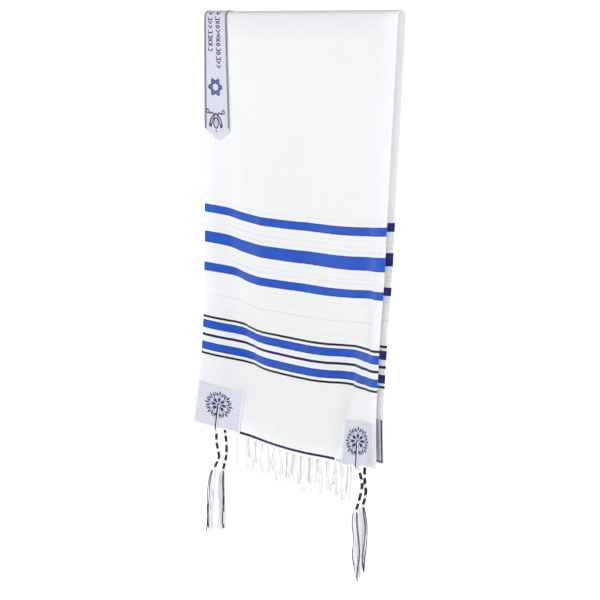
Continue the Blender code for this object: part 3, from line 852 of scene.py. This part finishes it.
def corner_layer(name, corner, finish, lifts, replaces):
    """A corner's label or facing, between two lifts."""
    eyelet_u, eyelet_v = eyelet_of(corner)
    side = CORNERS[corner][1]
    half, reach = EYELET_CELL / 2, PATCH_WIDTH / 2
    hem_v = side * (HEMS[side] - PATCH_INSET)
    far_v = hem_v - side * PATCH_HEIGHT
    u_stops = [eyelet_u - reach, eyelet_u - half, eyelet_u + half, eyelet_u + reach]
    v_stops = sorted([far_v, eyelet_v - half, eyelet_v + half, hem_v])
    steps = [LABEL_STEP, CELL_STEP, LABEL_STEP]
    u, v = np.meshgrid(lines(u_stops, steps), lines(v_stops, steps))
    shape = Shape()
    add_shell(shape, u, v, *lifts, [(eyelet_u, eyelet_v)], origin=(eyelet_u, eyelet_v))
    return shape.build(f"{name}_{corner}", [finish], replaces=f"{replaces}_{corner}")


# --- Ornament ---

ORNAMENT_RISE = 0.00032
STROKE_RING = ((1, 0.3), (0.45, 1.0), (-0.45, 1.0), (-1, 0.3), (0, -0.6))  # (beside, rise)
STRAIGHT_STEP = 0.003
ARC_STEP = 18  # degrees


class Drawing:
    """Flat ornament in its own (x, y), in metres, laid on a piece of cloth as raised stitching."""

    def __init__(self, shape, origin, y_way, lift):
        self.shape = shape
        self.origin = origin
        self.y_way = y_way  # the sign of v along +y
        self.lift = lift

    def stroke(self, points, widths, slot=0):
        """A band along the points, thicker down its middle."""
        points = np.asarray(points, float)
        ways = np.gradient(points, axis=0)
        ways = ways / np.linalg.norm(ways, axis=1, keepdims=True)
        halves = (np.broadcast_to(widths, len(points)) / 2)[:, None]
        beside = np.stack([-ways[:, 1], ways[:, 0]], 1) * halves
        rings = []
        for share, rise in STROKE_RING:
            x, y = (points + beside * share).T
            u = self.origin[0] + x
            v = self.origin[1] + self.y_way * y
            rings.append(on_cloth(u, v, self.lift + rise * ORNAMENT_RISE))
        numbers = self.shape.add_points(np.stack(rings, 1))
        self.shape.add_rows(numbers, slot, flip=self.y_way < 0, closed=True)
        for end in (numbers[0][:: -self.y_way], numbers[-1][:: self.y_way]):
            self.shape.add_faces([end], slot)

    def straights(self, corners, width, slot=0):
        """Straight bands from each corner to the next."""
        for start, stop in zip(corners, corners[1:]):
            count = max(2, math.ceil(math.dist(start, stop) / STRAIGHT_STEP) + 1)
            self.stroke(np.linspace(start, stop, count), width, slot)

    def arc(self, centre, radius, start, stop, width, flat=1.0):
        """Part of a ring from one angle to another, in degrees. flat squeezes it along y."""
        count = max(4, round(abs(stop - start) / ARC_STEP) + 1)
        turns = np.radians(np.linspace(start, stop, count))
        x = centre[0] + radius * np.cos(turns)
        y = centre[1] + radius * np.sin(turns) * flat
        self.stroke(np.stack([x, y], 1), width)

    def leaf(self, root, tip, width, slot=0, bend=0.0):
        """A leaf from root to tip, widest before its middle. bend bows it aside."""
        root, tip = np.array(root), np.array(tip)
        steps = np.linspace(0, 1, 9)
        beside = np.array([root[1] - tip[1], tip[0] - root[0]]) * bend
        points = root + (tip - root) * steps[:, None] + beside * np.sin(math.pi * steps)[:, None]
        widths = width * np.maximum(np.sin(math.pi * steps**0.8), 0.12)
        self.stroke(points, widths, slot)

    def dot(self, centre, radius, slot=0):
        x, y = centre
        self.leaf((x - radius, y), (x + radius, y), 2 * radius, slot)


STAR_RADIUS = 0.0235
STAR_FLAT = 0.9
STAR_LINES = (
    # (reach as a share of the radius, width, slot, rise above the other lines)
    (0.92, 0.0050, 1, 0.0),
    (0.90, 0.0006, 2, 0.6),
)
STAR_PLACE = (-0.0057, 0.1675)
FLOWER_PLACE = (-0.0064, 0.240)
FLOWER_CURVES = (
    # (width, points along it, what it runs through on the +x side): the sprig and two petals
    (2.8, 14, ((19.5, -18.8), (15.0, -15.0), (10.5, -18.5), (6.0, -14.0), (0, -16.5))),
    (3.4, 16, ((2.0, -12.5), (10.5, -8.5), (16.5, 1.0), (18.0, 11.0), (12.5, 12.8))),
    (2.4, 10, ((4.5, -7.5), (9.8, -1.0), (12.0, 8.5))),
)
MARK_PITCH = 0.0094
MARK_HALF = np.array([0.0068, 0.0033])  # half of a mark, across and along the band
MARK_WIDTH = 0.0025
MARKS = (
    # (share of MARK_WIDTH, straight bands through places in half marks)
    (1.0, [((-1, 0), (0, -1), (1, 0), (0, 1), (-1, 0))]),  # a lozenge
    (1.0, [((-1, -1), (1, 1)), ((1, -1), (-1, 1))]),  # a cross
    (0.85, [((-0.25, -1), (1, -1)), ((-0.5, 0), (1, 0)), ((-0.75, 1), (1, 1))]),  # steps
    (1.0, [((-1, -1), (0.2, 1), (1, -1))]),  # a chevron
    (1.0, [((-1, -1), (-1, 1), (1, 1), (1, -0.4))]),  # a key
)
MARK_SEED = 11
MARK_ROWS = ((-0.0190, 0.006, 0.093), (0.0068, 0.006, 0.131))  # (x, from, to along the band)
BORDER_PITCH = 0.0024
BORDER_INSET = 0.0006
BORDER_SLANT = 0.0014
BORDER_THREAD = 0.0023
BORDERS = (
    # sign of x, width, how far it runs from the crown
    (-1, 0.0058, 0.2600),
    (1, 0.0068, 0.2535),
)


def star(drawing, centre):
    """Two outlined triangles, each with a pale line down its bands."""
    x, y = centre
    for reach, width, slot, rise in STAR_LINES:
        radius = reach * STAR_RADIUS
        drawing.lift += rise * ORNAMENT_RISE
        for first in (0, 180):
            turns = [math.radians(first + 120 * i) for i in (0, 1, 2, 0)]
            corners = [(radius * math.cos(t), STAR_FLAT * radius * math.sin(t)) for t in turns]
            drawing.straights([(x + a, y + b) for a, b in corners], width, slot)
        drawing.lift -= rise * ORNAMENT_RISE


def flower(drawing, centre):
    """A hanging tulip of three petals under a pair of curled sprigs."""
    x, y = centre
    for side in (1, -1):
        drawing.arc((x + side * 0.0238, y - 0.0200), 0.0040, 0, 360, 0.0026)
        for width, count, places in FLOWER_CURVES:
            curve = smoothed([(x + side * a * MM, y + b * MM) for a, b in places], count)
            drawing.stroke(curve, width * MM)
        drawing.leaf((x + side * 0.0128, y + 0.0050), (x + side * 0.0158, y + 0.0130), 0.0040)
    drawing.arc((x, y + 0.0042), 0.0066, 0, 360, 0.0030, flat=1.7)
    drawing.leaf((x, y - 0.0050), (x, y + 0.0125), 0.0042, slot=2)
    drawing.dot((x, y + 0.0215), 0.0022)


def chain(drawing, x, start, stop, rng):
    """A row of woven marks along the band: lozenges, crosses, steps, chevrons and keys."""
    for i in range(int((stop - start) / MARK_PITCH)):
        middle = np.array([x, start + MARK_PITCH * (i + 0.5)])
        share, bands = rng.choice(MARKS)
        for places in bands:
            drawing.straights([middle + MARK_HALF * place for place in places], MARK_WIDTH * share)


def atarah_ornament(finishes):
    """Two rows of marks, a star and a flower, alike on both halves of the band."""
    shape = Shape()
    rng = random.Random(MARK_SEED)
    for side in (1, -1):
        drawing = Drawing(shape, (ATARAH_MIDDLE, 0.0), side, ATARAH_TOP)
        for row in MARK_ROWS:
            chain(drawing, *row, rng)
        star(drawing, STAR_PLACE)
        flower(drawing, FLOWER_PLACE)
    return shape.build("atarah_ornament", finishes)


def atarah_borders(finish):
    """The dark rope-like stripe along each long edge, of short slanting stitches."""
    shape = Shape()
    drawing = Drawing(shape, (ATARAH_MIDDLE, 0.0), 1, ATARAH_TOP)
    for sign, width, reach in BORDERS:
        x = sign * (ATARAH_WIDTH / 2 - width / 2 - BORDER_INSET)
        for i in range(int(2 * reach / BORDER_PITCH)):
            y = BORDER_PITCH * (i + 0.5) - reach
            slant = [(x + width / 2 * end, y + BORDER_SLANT * end) for end in (-1, 0, 1)]
            drawing.stroke(slant, BORDER_THREAD)
    return shape.build("atarah_borders", [finish])


MEDALLION_FLAT = 0.92  # its height over its width
PETALS = 8
MEDALLION_LEAVES = (
    # for each petal: (turn and reach of the root, of the tip, width, bend, slot), degrees and mm
    (0, 6.5, 0, 17.5, 5.8, 0.0, 1),
    (9, 9.0, 2, 19.2, 1.3, 0.2, 0),
    (-9, 9.0, -2, 19.2, 1.3, -0.2, 0),
    (7, 23.5, 13, 31.5, 3.0, 0.2, 0),
    (-7, 23.5, -13, 31.5, 3.0, -0.2, 0),
    (0, 22.5, 0, 34.5, 4.0, 0.0, 1),
    (22.5, 26.2, 22.5, 31.8, 2.8, 0.0, 0),
)
MEDALLION_SCALLOP = (19.0, 5.2, 100, 1.9)  # (its centre's reach, radius, half its turn, width)
MEDALLION_DOT = (19.5, 1.9)  # (reach, radius)
MEDALLION_RING = (6.4, 1.2)  # (radius, width)


def medallion(corner, finishes):
    """A wreath of leaves and scallops round an eight-petalled rosette, centred on the eyelet."""
    shape = Shape()
    drawing = Drawing(shape, eyelet_of(corner), -CORNERS[corner][1], PATCH_TOP)

    def at(turn, reach):
        angle = math.radians(turn)
        return np.array([math.cos(angle), math.sin(angle) * MEDALLION_FLAT]) * reach * MM

    for i in range(PETALS):
        turn = 360 / PETALS * i
        for root, near, tip, far, width, bend, slot in MEDALLION_LEAVES:
            drawing.leaf(at(turn + root, near), at(turn + tip, far), width * MM, slot, bend)
        between = turn + 180 / PETALS
        reach, radius, half, width = MEDALLION_SCALLOP
        ends = between - half, between + half
        drawing.arc(at(between, reach), radius * MM, *ends, width * MM)
        reach, radius = MEDALLION_DOT
        drawing.dot(at(between, reach), radius * MM, slot=2)
    radius, width = MEDALLION_RING
    drawing.arc((0, 0), radius * MM, 0, 360, width * MM)
    return shape.build(f"medallion_{corner}", finishes)


# --- Stitches ---

STITCH_SHAPE = (
    # (share of its length, rise and radius as shares of the radius)
    (0.0, -1.2, 0.6),
    (0.2, 0.3, 1.0),
    (0.5, 0.6, 1.0),
    (0.8, 0.3, 1.0),
    (1.0, -1.2, 0.6),
)
STITCH_SIDES = 5
SEAM_PITCH = 0.0034
SEAM_COVER = 0.68  # the share of the pitch that a stitch takes
ZIGZAG_PITCH = 0.0032
ZIGZAG_WIDTH = 0.0030
BAND_SEAM_INSET = 0.0016
LABEL_SEAM_INSET = 0.002
EYELET_STITCHES = 28
EYELET_STITCH_RADIUS = 0.00045
EYELET_STITCH_REACH = (-0.0001, 0.0024)  # from the eyelet's edge
EYELET_STITCH_LIFT = 0.0001


def add_stitch(shape, start, stop, radius=STITCH_RADIUS):
    """A short raised stitch between two places, sunk at its ends. Each place is (u, v, lift)."""
    share, rise, width = np.array(STITCH_SHAPE).T
    places = np.array(start) + (np.array(stop) - np.array(start)) * share[:, None]
    path = on_cloth(places[:, 0], places[:, 1], places[:, 2] + radius * rise)
    shape.add_tube(path, radius * width, STITCH_SIDES)


def add_seam(shape, corners, lift):
    """Running stitches along straight lines between (u, v) corners."""
    for start, stop in zip(corners, corners[1:]):
        count = max(1, round(math.dist(start, stop) / SEAM_PITCH))
        for i in range(count):
            ends = [
                [a + (b - a) * (i + share) / count for a, b in zip(start, stop)] + [lift]
                for share in ((1 - SEAM_COVER) / 2, (1 + SEAM_COVER) / 2)
            ]
            add_stitch(shape, *ends)


def add_zigzag(shape, u, start, stop, lifts):
    """A zigzag seam over an edge: each stitch crosses from one side of it to the other."""
    count = round((stop - start) / ZIGZAG_PITCH)
    places = [start + (stop - start) * i / count for i in range(count + 1)]
    for i, (here, after) in enumerate(zip(places, places[1:])):
        sides = (-1, 1) if i % 2 == 0 else (1, -1)
        ends = [
            (u + ZIGZAG_WIDTH / 2 * sign, v, lifts[0] if sign < 0 else lifts[1])
            for sign, v in zip(sides, (here, after))
        ]
        add_stitch(shape, *ends)


def atarah_seams(finish):
    shape = Shape()
    edge, shoulder = PATCH_INSET + ATARAH_WIDTH, ATARAH_SHOULDER
    left, right = PATCH_INSET + BAND_SEAM_INSET, edge - BAND_SEAM_INSET
    tip = shoulder + POINT_LEDGE + ATARAH_POINT - 2 * BAND_SEAM_INSET
    for side in (1, -1):
        corners = [(left, side * shoulder), (ATARAH_MIDDLE, side * tip), (right, side * shoulder)]
        add_seam(shape, corners, ATARAH_TOP)
    add_zigzag(shape, edge, -shoulder, shoulder, (ATARAH_TOP, WALL / 2))
    add_zigzag(shape, PATCH_INSET, -shoulder, shoulder, (WALL / 2, ATARAH_TOP))
    return shape.build("atarah_seams", [finish])


def corner_seams(finish):
    """The seam round each corner label, and the stitched rim of its eyelet."""
    shape = Shape()
    for corner, (u, side) in CORNERS.items():
        v = eyelet_of(corner)[1]
        half = PATCH_WIDTH / 2 - LABEL_SEAM_INSET
        hem_v = side * (HEMS[side] - PATCH_INSET - LABEL_SEAM_INSET)
        far_v = hem_v - side * (PATCH_HEIGHT - 2 * LABEL_SEAM_INSET)
        corners = [(u - half, far_v), (u + half, far_v), (u + half, hem_v), (u - half, hem_v)]
        add_seam(shape, [*corners, corners[0]], PATCH_TOP)
        for i in range(EYELET_STITCHES):
            turn = 2 * math.pi * i / EYELET_STITCHES
            reaches = [EYELET_RADIUS + reach for reach in EYELET_STITCH_REACH]
            lift = PATCH_TOP + EYELET_STITCH_LIFT
            ends = [(u + math.cos(turn) * r, v + math.sin(turn) * r, lift) for r in reaches]
            add_stitch(shape, *ends, radius=EYELET_STITCH_RADIUS)
    return shape.build("corner_seams", [finish])


# --- Yarns ---

PLIES = 3
PLY_SIDES = 6
YARN_SMOOTHING = 70  # degrees
FULL_TURN = 2 * math.pi


def twisted(path, ply_radius, pitch, phase, loosen):
    """Paths of yarns that twist round a path that runs nearly straight down.

    loosen is how much further from the path they end than they start, as a share.
    """
    path = np.asarray(path)
    run = np.concatenate([[0.0], np.cumsum(np.linalg.norm(np.diff(path, axis=0), axis=1))])
    radius = ply_radius * (1 + loosen * (run / run[-1]) ** 3)
    found = []
    for i in range(PLIES):
        turn = phase + FULL_TURN * (i / PLIES + run / pitch)
        beside = [np.cos(turn) * radius, np.sin(turn) * radius, np.zeros_like(turn)]
        found.append(path + np.stack(beside, 1))
    return found


# --- Fringe ---

PLY_TURN = 0.012  # a strand's yarns go round each other once in about this length
PLY_TURN_SPREAD = (0.9, 1.3)
PLY_APART = 0.24  # how far they lie from its middle, as a share of STRAND_WIDTH
PLY_WIDTH = 0.72  # the width of each, as a share of the strand's
PLY_LOOSEN = 0.9
STRAND_POINTS = 19
STRAND_WIDTHS = ((0, 0.15, 0.5, 0.85, 1.0), (0.85, 0.9, 1.12, 1.15, 0.75))  # down it, share
STRAND_WAVE = 0.0010
STRAND_WAVES = (1.5, 3.0)  # half waves in a strand's length
LOCK_GATHER = 0.42  # how far a lock's strands are drawn together below its knot
LOCK_GATHERED = ((0.0, 0.14, 0.55, 1.0), (0.25, 1.0, 0.9, 0.5))  # down it, share of that
STRAND_TOP = 0.7  # where in the strip it starts, as a share of the strip's height
STRIP_STEP = 0.0028
STRIP_ROWS = ((0.0, 0.0), (0.5, 0.3), (1.0, 1.0))  # (share of its height, of the scallop)
SCALLOP = 0.0009  # how far the strip's lower edge sways at each lock
ANY_PHASE = (0, 6)


def fringe_strip(shape, side):
    """The narrow woven strip below a hem that the locks grow from."""
    length = WIDTH - 2 * FRINGE_START
    us = lines([FRINGE_START, WIDTH - FRINGE_START], [STRIP_STEP])
    scallop = SCALLOP * np.sin((us - FRINGE_START) / length * LOCKS * FULL_TURN)
    heights, shares = np.array(STRIP_ROWS).T
    u, v = np.meshgrid(us, HEMS[side] + GAP + STRIP_HEIGHT * heights)
    v = v + shares[:, None] * scallop
    add_shell(shape, u[::side], side * v[::side], -SHELL / 2, SHELL / 2)


def fringe_locks(name, side, finishes):
    """The warp ends: a narrow woven strip and locks of twisted strands, gathered at the top."""
    rng, own = random.Random(f"fringe_{name}"), random.Random(f"yarn_{name}")
    sways = [(rng.uniform(*LOCK_SWAY_ALONG), rng.uniform(*LOCK_SWAY_OUT)) for _ in range(LOCKS)]
    lengths = [FRINGE_LENGTH * rng.uniform(*LOCK_LENGTHS) for _ in range(LOCKS)]
    shape = Shape()
    fringe_strip(shape, side)
    root_v = side * (HEMS[side] + GAP + STRIP_HEIGHT * STRAND_TOP)
    down = np.linspace(0, 1, STRAND_POINTS)
    tight = LOCK_GATHER * np.interp(down, *LOCK_GATHERED)
    radii = STRAND_WIDTH / 2 * PLY_WIDTH * np.interp(down, *STRAND_WIDTHS)
    for lock, sway in enumerate(sways):
        middle = FRINGE_START + (WIDTH - 2 * FRINGE_START) / LOCKS * (lock + 0.5)
        for strand in range(STRANDS_IN_LOCK):
            beside = strand - (STRANDS_IN_LOCK - 1) / 2
            along_x, along_y = np.array(sway) + beside * LOCK_FAN
            length = lengths[lock] * rng.uniform(*STRAND_LENGTHS)
            length += STRIP_HEIGHT * (1 - STRAND_TOP)
            half_waves, phase = own.uniform(*STRAND_WAVES), own.uniform(*ANY_PHASE)
            wave_out = np.sin(down * math.pi * half_waves + phase) * down * STRAND_WAVE
            gather = -beside * STRAND_SPACING * tight
            x, y = along_x * down**1.5 + wave_out + gather, along_y * down**1.5 + wave_out
            path = on_cloth(middle + beside * STRAND_SPACING, root_v)
            path = path + np.stack([x, y, -length * down], 1)
            pitch, phase = PLY_TURN * own.uniform(*PLY_TURN_SPREAD), own.uniform(*ANY_PHASE)
            for ply in twisted(path, STRAND_WIDTH * PLY_APART, pitch, phase, PLY_LOOSEN):
                shape.add_tube(ply, radii, PLY_SIDES)
    made = f"fringe_locks_{name}"
    return shape.build(made, finishes, f"fringe_{name}", YARN_SMOOTHING)


# --- Tassels ---

WHITE_SLOT, BLACK_SLOT = 0, 1
# Which of a tassel's loose strings are black, by number.
BLACK_STRINGS = {
    "front_left": (0, 1, 6),
    "back_left": (3, 6),
    "front_right": (0, 3),
    "back_right": (3, 7),
}
LONGER_STEM = {"back_left": (12, 6)}  # what one stem has more, mm
WHITE_STRING_WIDTH = 0.0046
BLACK_STRING_WIDTH = 0.0027
LONGER_STRINGS = 1.03  # than the solids' own
STRING_POINTS = 34
STRING_PLY_APART = 0.46  # how far its yarns lie from its middle, as a share of its radius
STRING_PLY_WIDTH = 0.60
STRING_LOOSEN = 0.5
STRING_TURN = 0.0095  # a string's yarns go round each other once in about this length
STRING_TURN_SPREAD = (0.9, 1.15)
STRING_BOWS = (0.0005, 0.0016)
BLACK_BOW = 2.2  # times as far
STRING_WAVES = (1.0, 2.2)
STRING_WAVE_WAYS = (6, 5)  # how fast it sways along X and along Y
STRINGS_APART = (
    # (down them, how far apart they hang as a share of STRING_SPACING)
    (0.0, 0.04, 0.10, 0.30, 1.0),
    (0.40, 0.95, 1.20, 1.34, 1.34),
)
THREAD_RADIUS = 0.00085  # of the thread that is wound round the stem
THREAD_PITCH = THREAD_RADIUS * 2.05
THREAD_CORE = WOUND_RADIUS - THREAD_RADIUS / 2
THREAD_POINTS = 12  # in each turn
THREAD_SIDES = 5
THREAD_WIDTH = 0.98  # drawn this much thinner than it is, so that its turns part
THREAD_WOBBLE = (0.03, 3.1)  # (share of the radius, how fast)
WINDING_OVERLAP = 0.0005  # into the knot at each end
CORE_RADIUS = WOUND_RADIUS - 1.6 * THREAD_RADIUS
CORE_INSET = 0.001
CORE_POINTS = 40
CORE_SIDES = 8
KNOT_THREAD = 0.0013
KNOT_TURNS = 2.1
KNOT_REACH = 0.62  # the share of its length that the string climbs
KNOT_LEAN = 0.0011
KNOT_POINTS = 30
KNOT_SIDES = 7
KNOT_OVAL = (0.93, 0.07)  # its mean reach and how far that swings, as shares
CORD_DOWNS = (0.0, 0.0008, 0.0035)  # below the eyelet, where the cords turn through it
CORD_LIFTS = (0.0, 0.8, 1.0)  # and how far they are then clear of the label
CORD_RUN = (0.009, EYELET_UP + 0.001)  # and from where to where they then run straight down
CORD_ROWS = 12
CORD_MEET = 0.45  # how near the knot they turn in
CORDS_APART = ((0, 0.01, EYELET_UP), (0.8, 1.5, 1.0))
CORD_POINTS = 46


def level_step(turn, reach):
    """A level step in this direction."""
    return reach * np.array([math.cos(turn), math.sin(turn), 0])


def hanging_line(corner, root):
    """A function from distances below the hem to places on this tassel's line."""
    drops, along_x, along_y = zip(*ROUTES[corner])

    def place(drop):
        x, y = (through(drops, values, drop / MM) * MM for values in (along_x, along_y))
        return root + np.array([x, y, -drop])

    return place


def add_winding(shape, place, start, length, rng):
    """Black thread wound closely round the stem."""
    phase = rng.uniform(*ANY_PHASE)
    path = []
    for step in np.arange(0, (length + 2 * WINDING_OVERLAP) / THREAD_PITCH, 1 / THREAD_POINTS):
        reach = THREAD_CORE * (1 + THREAD_WOBBLE[0] * math.sin(THREAD_WOBBLE[1] * step))
        at = place(start - WINDING_OVERLAP + step * THREAD_PITCH)
        path.append(at + level_step(FULL_TURN * step + phase, reach))
    shape.add_tube(path, THREAD_RADIUS * THREAD_WIDTH, THREAD_SIDES, BLACK_SLOT)


def add_knot(shape, place, start, length, rng):
    """A double knot: two strings that pass round the stem twice, each aslant to the other."""
    middle = start + length / 2
    phase = rng.uniform(*ANY_PHASE)
    for first, lean in ((0, KNOT_LEAN), (math.pi, -KNOT_LEAN)):
        path = []
        for step in np.linspace(0, KNOT_TURNS, KNOT_POINTS):
            turn = FULL_TURN * step + phase + first
            climb = (step / KNOT_TURNS - 0.5) * length * KNOT_REACH
            reach = (KNOT_RADIUS - KNOT_THREAD) * (KNOT_OVAL[0] + KNOT_OVAL[1] * math.cos(2 * turn))
            path.append(place(middle + climb + lean * math.sin(turn)) + level_step(turn, reach))
        shape.add_tube(path, KNOT_THREAD, KNOT_SIDES, WHITE_SLOT)


def add_string(shape, path, radius, rng, slot):
    """A string of three yarns with a slightly opened end."""
    pitch, phase = STRING_TURN * rng.uniform(*STRING_TURN_SPREAD), rng.uniform(*ANY_PHASE)
    for ply in twisted(path, radius * STRING_PLY_APART, pitch, phase, STRING_LOOSEN):
        shape.add_tube(ply, radius * STRING_PLY_WIDTH, PLY_SIDES, slot)


def add_loose_strings(shape, corner, place, start):
    rng, own = random.Random(corner), random.Random(f"strings_{corner}")
    columns = STRINGS // 2
    for i in range(STRINGS):
        beside = np.array([i % columns - (columns - 1) / 2, i // columns - 0.5]) * STRING_SPACING
        drift = np.array([rng.uniform(-1, 1), rng.uniform(-1, 1)]) * STRING_DRIFT
        length = LONGER_STRINGS * STRING_LENGTH * rng.uniform(SHORTEST_STRING, 1.0)
        black = i in BLACK_STRINGS[corner]
        bow = own.uniform(*STRING_BOWS) * (BLACK_BOW if black else 1.0)
        turns, phase = own.uniform(*STRING_WAVES), own.uniform(*ANY_PHASE)
        path = []
        for down in np.linspace(0, 1, STRING_POINTS):
            x, y = (phase + turns * way * down for way in STRING_WAVE_WAYS)
            sway = np.array([math.sin(x), math.cos(y)])
            apart = beside * np.interp(down, *STRINGS_APART)
            x, y = apart + drift * down + bow * down * sway
            path.append(place(start + length * down) + np.array([x, y, 0.0]))
        width = BLACK_STRING_WIDTH if black else WHITE_STRING_WIDTH
        add_string(shape, path, width / 2, own, BLACK_SLOT if black else WHITE_SLOT)


def add_cords(shape, corner, place, rng):
    """The strings from the first knot up over the label, through the eyelet and down inside."""
    u, eyelet_v = eyelet_of(corner)
    knot = place(STEM_START + STEM[0] * MM / 2)
    radius = CORD_THICKNESS / 2
    clear = PATCH_TOP + CORD_CLEARANCE + radius
    downs = np.array([*CORD_DOWNS, *np.linspace(*CORD_RUN, CORD_ROWS)])
    lifts = clear * np.array([*CORD_LIFTS, *np.ones(CORD_ROWS)])
    for beside, slot in ((-radius, BLACK_SLOT), (radius, WHITE_SLOT)):
        for sign in (1, -1):
            aside = beside * np.interp(downs, *CORDS_APART)
            path = on_cloth(u + aside, eyelet_v + CORNERS[corner][1] * downs, sign * lifts)
            path = np.concatenate([path, [knot + (path[-1] - knot) * CORD_MEET, knot]])
            add_string(shape, smoothed(path, CORD_POINTS), radius, rng, slot)


def tassel(corner, finishes):
    u, side = CORNERS[corner]
    place = hanging_line(corner, on_cloth(u, side * HEMS[side]))
    rng = random.Random(f"knots_{corner}")
    shape = Shape()
    stem = [*STEM, *LONGER_STEM.get(corner, ())]
    drops = np.linspace(CORE_INSET, sum(stem) * MM - CORE_INSET, CORE_POINTS)
    core = [place(STEM_START + drop) for drop in drops]
    shape.add_tube(core, CORE_RADIUS, CORE_SIDES, WHITE_SLOT)
    start = STEM_START
    for i, length in enumerate(stem):
        (add_winding if i % 2 else add_knot)(shape, place, start, length * MM, rng)
        start += length * MM
    add_loose_strings(shape, corner, place, start - STRING_ROOT)
    add_cords(shape, corner, place, rng)
    made = f"tzitzit_strings_{corner}"
    return shape.build(made, finishes, f"tzitzit_{corner}", YARN_SMOOTHING)


# --- Stage ---

CAMERA_AZIMUTH = math.radians(49.34)  # from straight in front of the front panel, towards +X
CAMERA_DISTANCE = 3.66
CAMERA_HEIGHT = -0.023
CAMERA_YAW = math.radians(-0.037)
CAMERA_PITCH = math.radians(8.99)
CAMERA_SENSOR = 36.0
CAMERA_LENS = 105.24
LIGHTS = (
    # name, place, target, size, power
    ("key", (-0.35, -1.5, -0.15), (0.0, 0.0, -0.2), 0.9, 9.0),
    ("fill", (2.9, -1.7, -0.1), (0.0, 0.0, -0.3), 1.2, 34.0),
)
VIEW_WAY = (-0.76, 0.65, 0.0)  # the level way that the camera looks
BACK_WAY = (0.0, 1.0, 0.0)  # the level way in which the world is brightest
FLOOR_HEIGHT = -1.75
FLOOR_REACH = 40.0
FLOOR_COLOUR = (0.85, 0.85, 0.85)
FLOOR_GLOW = (0.0, 1.3, 0.32, 0.80)  # from and to this far along VIEW_WAY, strengths there
WORLD_GLOW = (0.10, 0.9, 0.95, 1.15)  # the same along BACK_WAY
WORLD_FADE = (0.1, 1.0, 1.0, 0.30)  # and upwards


def add_object(name, data):
    made = bpy.data.objects.new(name, data)
    bpy.context.scene.collection.objects.link(made)
    return made


def add_aimed(name, data, place, way):
    """An object that looks along a direction."""
    made = add_object(name, data)
    made.location = place
    made.rotation_mode = "QUATERNION"
    made.rotation_quaternion = Vector(way).to_track_quat("-Z", "Y")
    return made


def add_camera():
    data = bpy.data.cameras.new("camera")
    data.sensor_width = CAMERA_SENSOR
    data.lens = CAMERA_LENS
    across = math.sin(CAMERA_AZIMUTH), -math.cos(CAMERA_AZIMUTH)
    place = (*(CAMERA_DISTANCE * x for x in across), CAMERA_HEIGHT)
    turn, flat = CAMERA_AZIMUTH + CAMERA_YAW, math.cos(CAMERA_PITCH)
    way = (-math.sin(turn) * flat, math.cos(turn) * flat, -math.sin(CAMERA_PITCH))
    bpy.context.scene.camera = add_aimed("camera", data, place, way)


def add_lights():
    for name, place, target, size, power in LIGHTS:
        data = bpy.data.lights.new(name, "AREA")
        data.shape = "DISK"
        data.size = size
        data.energy = power
        add_aimed(name, data, place, Vector(target) - Vector(place))


def add_world():
    """Even daylight, whiter behind the shawl than before it and dimmer towards the top."""
    world = bpy.data.worlds.new("studio")
    world.use_nodes = True
    way = add_node(world.node_tree, "TexCoord", {}, out="Generated")
    glow = mapped(distance_along(way, BACK_WAY), *WORLD_GLOW, interpolation_type="SMOOTHSTEP")
    fade = mapped(distance_along(way, (0.0, 0.0, 1.0)), *WORLD_FADE)
    background = world.node_tree.nodes["Background"].inputs
    plug(background["Strength"], glow * fade)
    plug(background["Color"], (1.0, 1.0, 1.0))
    bpy.context.scene.world = world


def add_floor():
    """A wide pale floor that is whiter behind the shawl."""
    mesh = bpy.data.meshes.new("floor")
    ends = [(x * FLOOR_REACH, y * FLOOR_REACH) for x, y in ((-1, -1), (1, -1), (1, 1), (-1, 1))]
    mesh.from_pydata([(x, y, FLOOR_HEIGHT) for x, y in ends], [], [(0, 1, 2, 3)])
    floor = add_object("floor", mesh)
    finish = Finish("pale_floor", roughness=0.9)
    finish.set_input("Base Color", FLOOR_COLOUR)
    finish.set_input("Emission Color", (1.0, 1.0, 1.0))
    place = add_node(finish.tree, "TexCoord", {}, out="Object")
    finish.set_input("Emission Strength", mapped(distance_along(place, VIEW_WAY), *FLOOR_GLOW))
    mesh.materials.append(finish.material)


def add_stage():
    bpy.context.scene.view_settings.view_transform = "Standard"
    add_camera()
    add_world()
    add_floor()
    add_lights()


# --- The shawl ---


def main():
    add_stage()
    cloth = [
        striped_wool("striped_wool", WHITE, STRIPE_COLOURS, STREAKS, PAINTED_SHADE_DEPTH),
        # The inner faces take the lighter white of painted light, and no painted edge shade.
        striped_wool(
            "striped_wool_inside", LIT_WHITE_INSIDE, WRONG_SIDE_COLOURS, WRONG_SIDE_STREAKS, 0.0
        ),
    ]
    label = jacquard("dotted_jacquard", dotted=True)
    band_cloth = jacquard("twill_jacquard", dotted=False)
    facing = bordered_facing()
    thread = {name: thread_finish(name) for name in THREADS}
    stitching = [thread[f"{shade}_stitching"] for shade in ("dark", "navy", "pale")]
    sewing = thread["sewing_thread"]
    strings = [thread["white_string"], thread["black_string"]]

    shawl = shawl_cloth(cloth)
    neck_band = atarah_band(band_cloth)
    with_shawl = [neck_band, atarah_ornament(stitching)]
    with_shawl.append(atarah_borders(thread["border_stitching"]))
    with_shawl += [atarah_seams(sewing), corner_seams(sewing)]
    for corner in CORNERS:
        outside, inside = (PATCH_SEAT, PATCH_TOP), (-PATCH_TOP, -PATCH_SEAT)
        layers = [
            corner_layer("label", corner, label, outside, "corner_patch"),
            corner_layer("facing", corner, facing, inside, "corner_facing"),
        ]
        with_shawl += [*layers, medallion(corner, stitching), tassel(corner, strings)]
    for name, side in (("front", 1), ("back", -1)):
        with_shawl.append(fringe_locks(name, side, [thread["fringe_yarn"]]))


main()
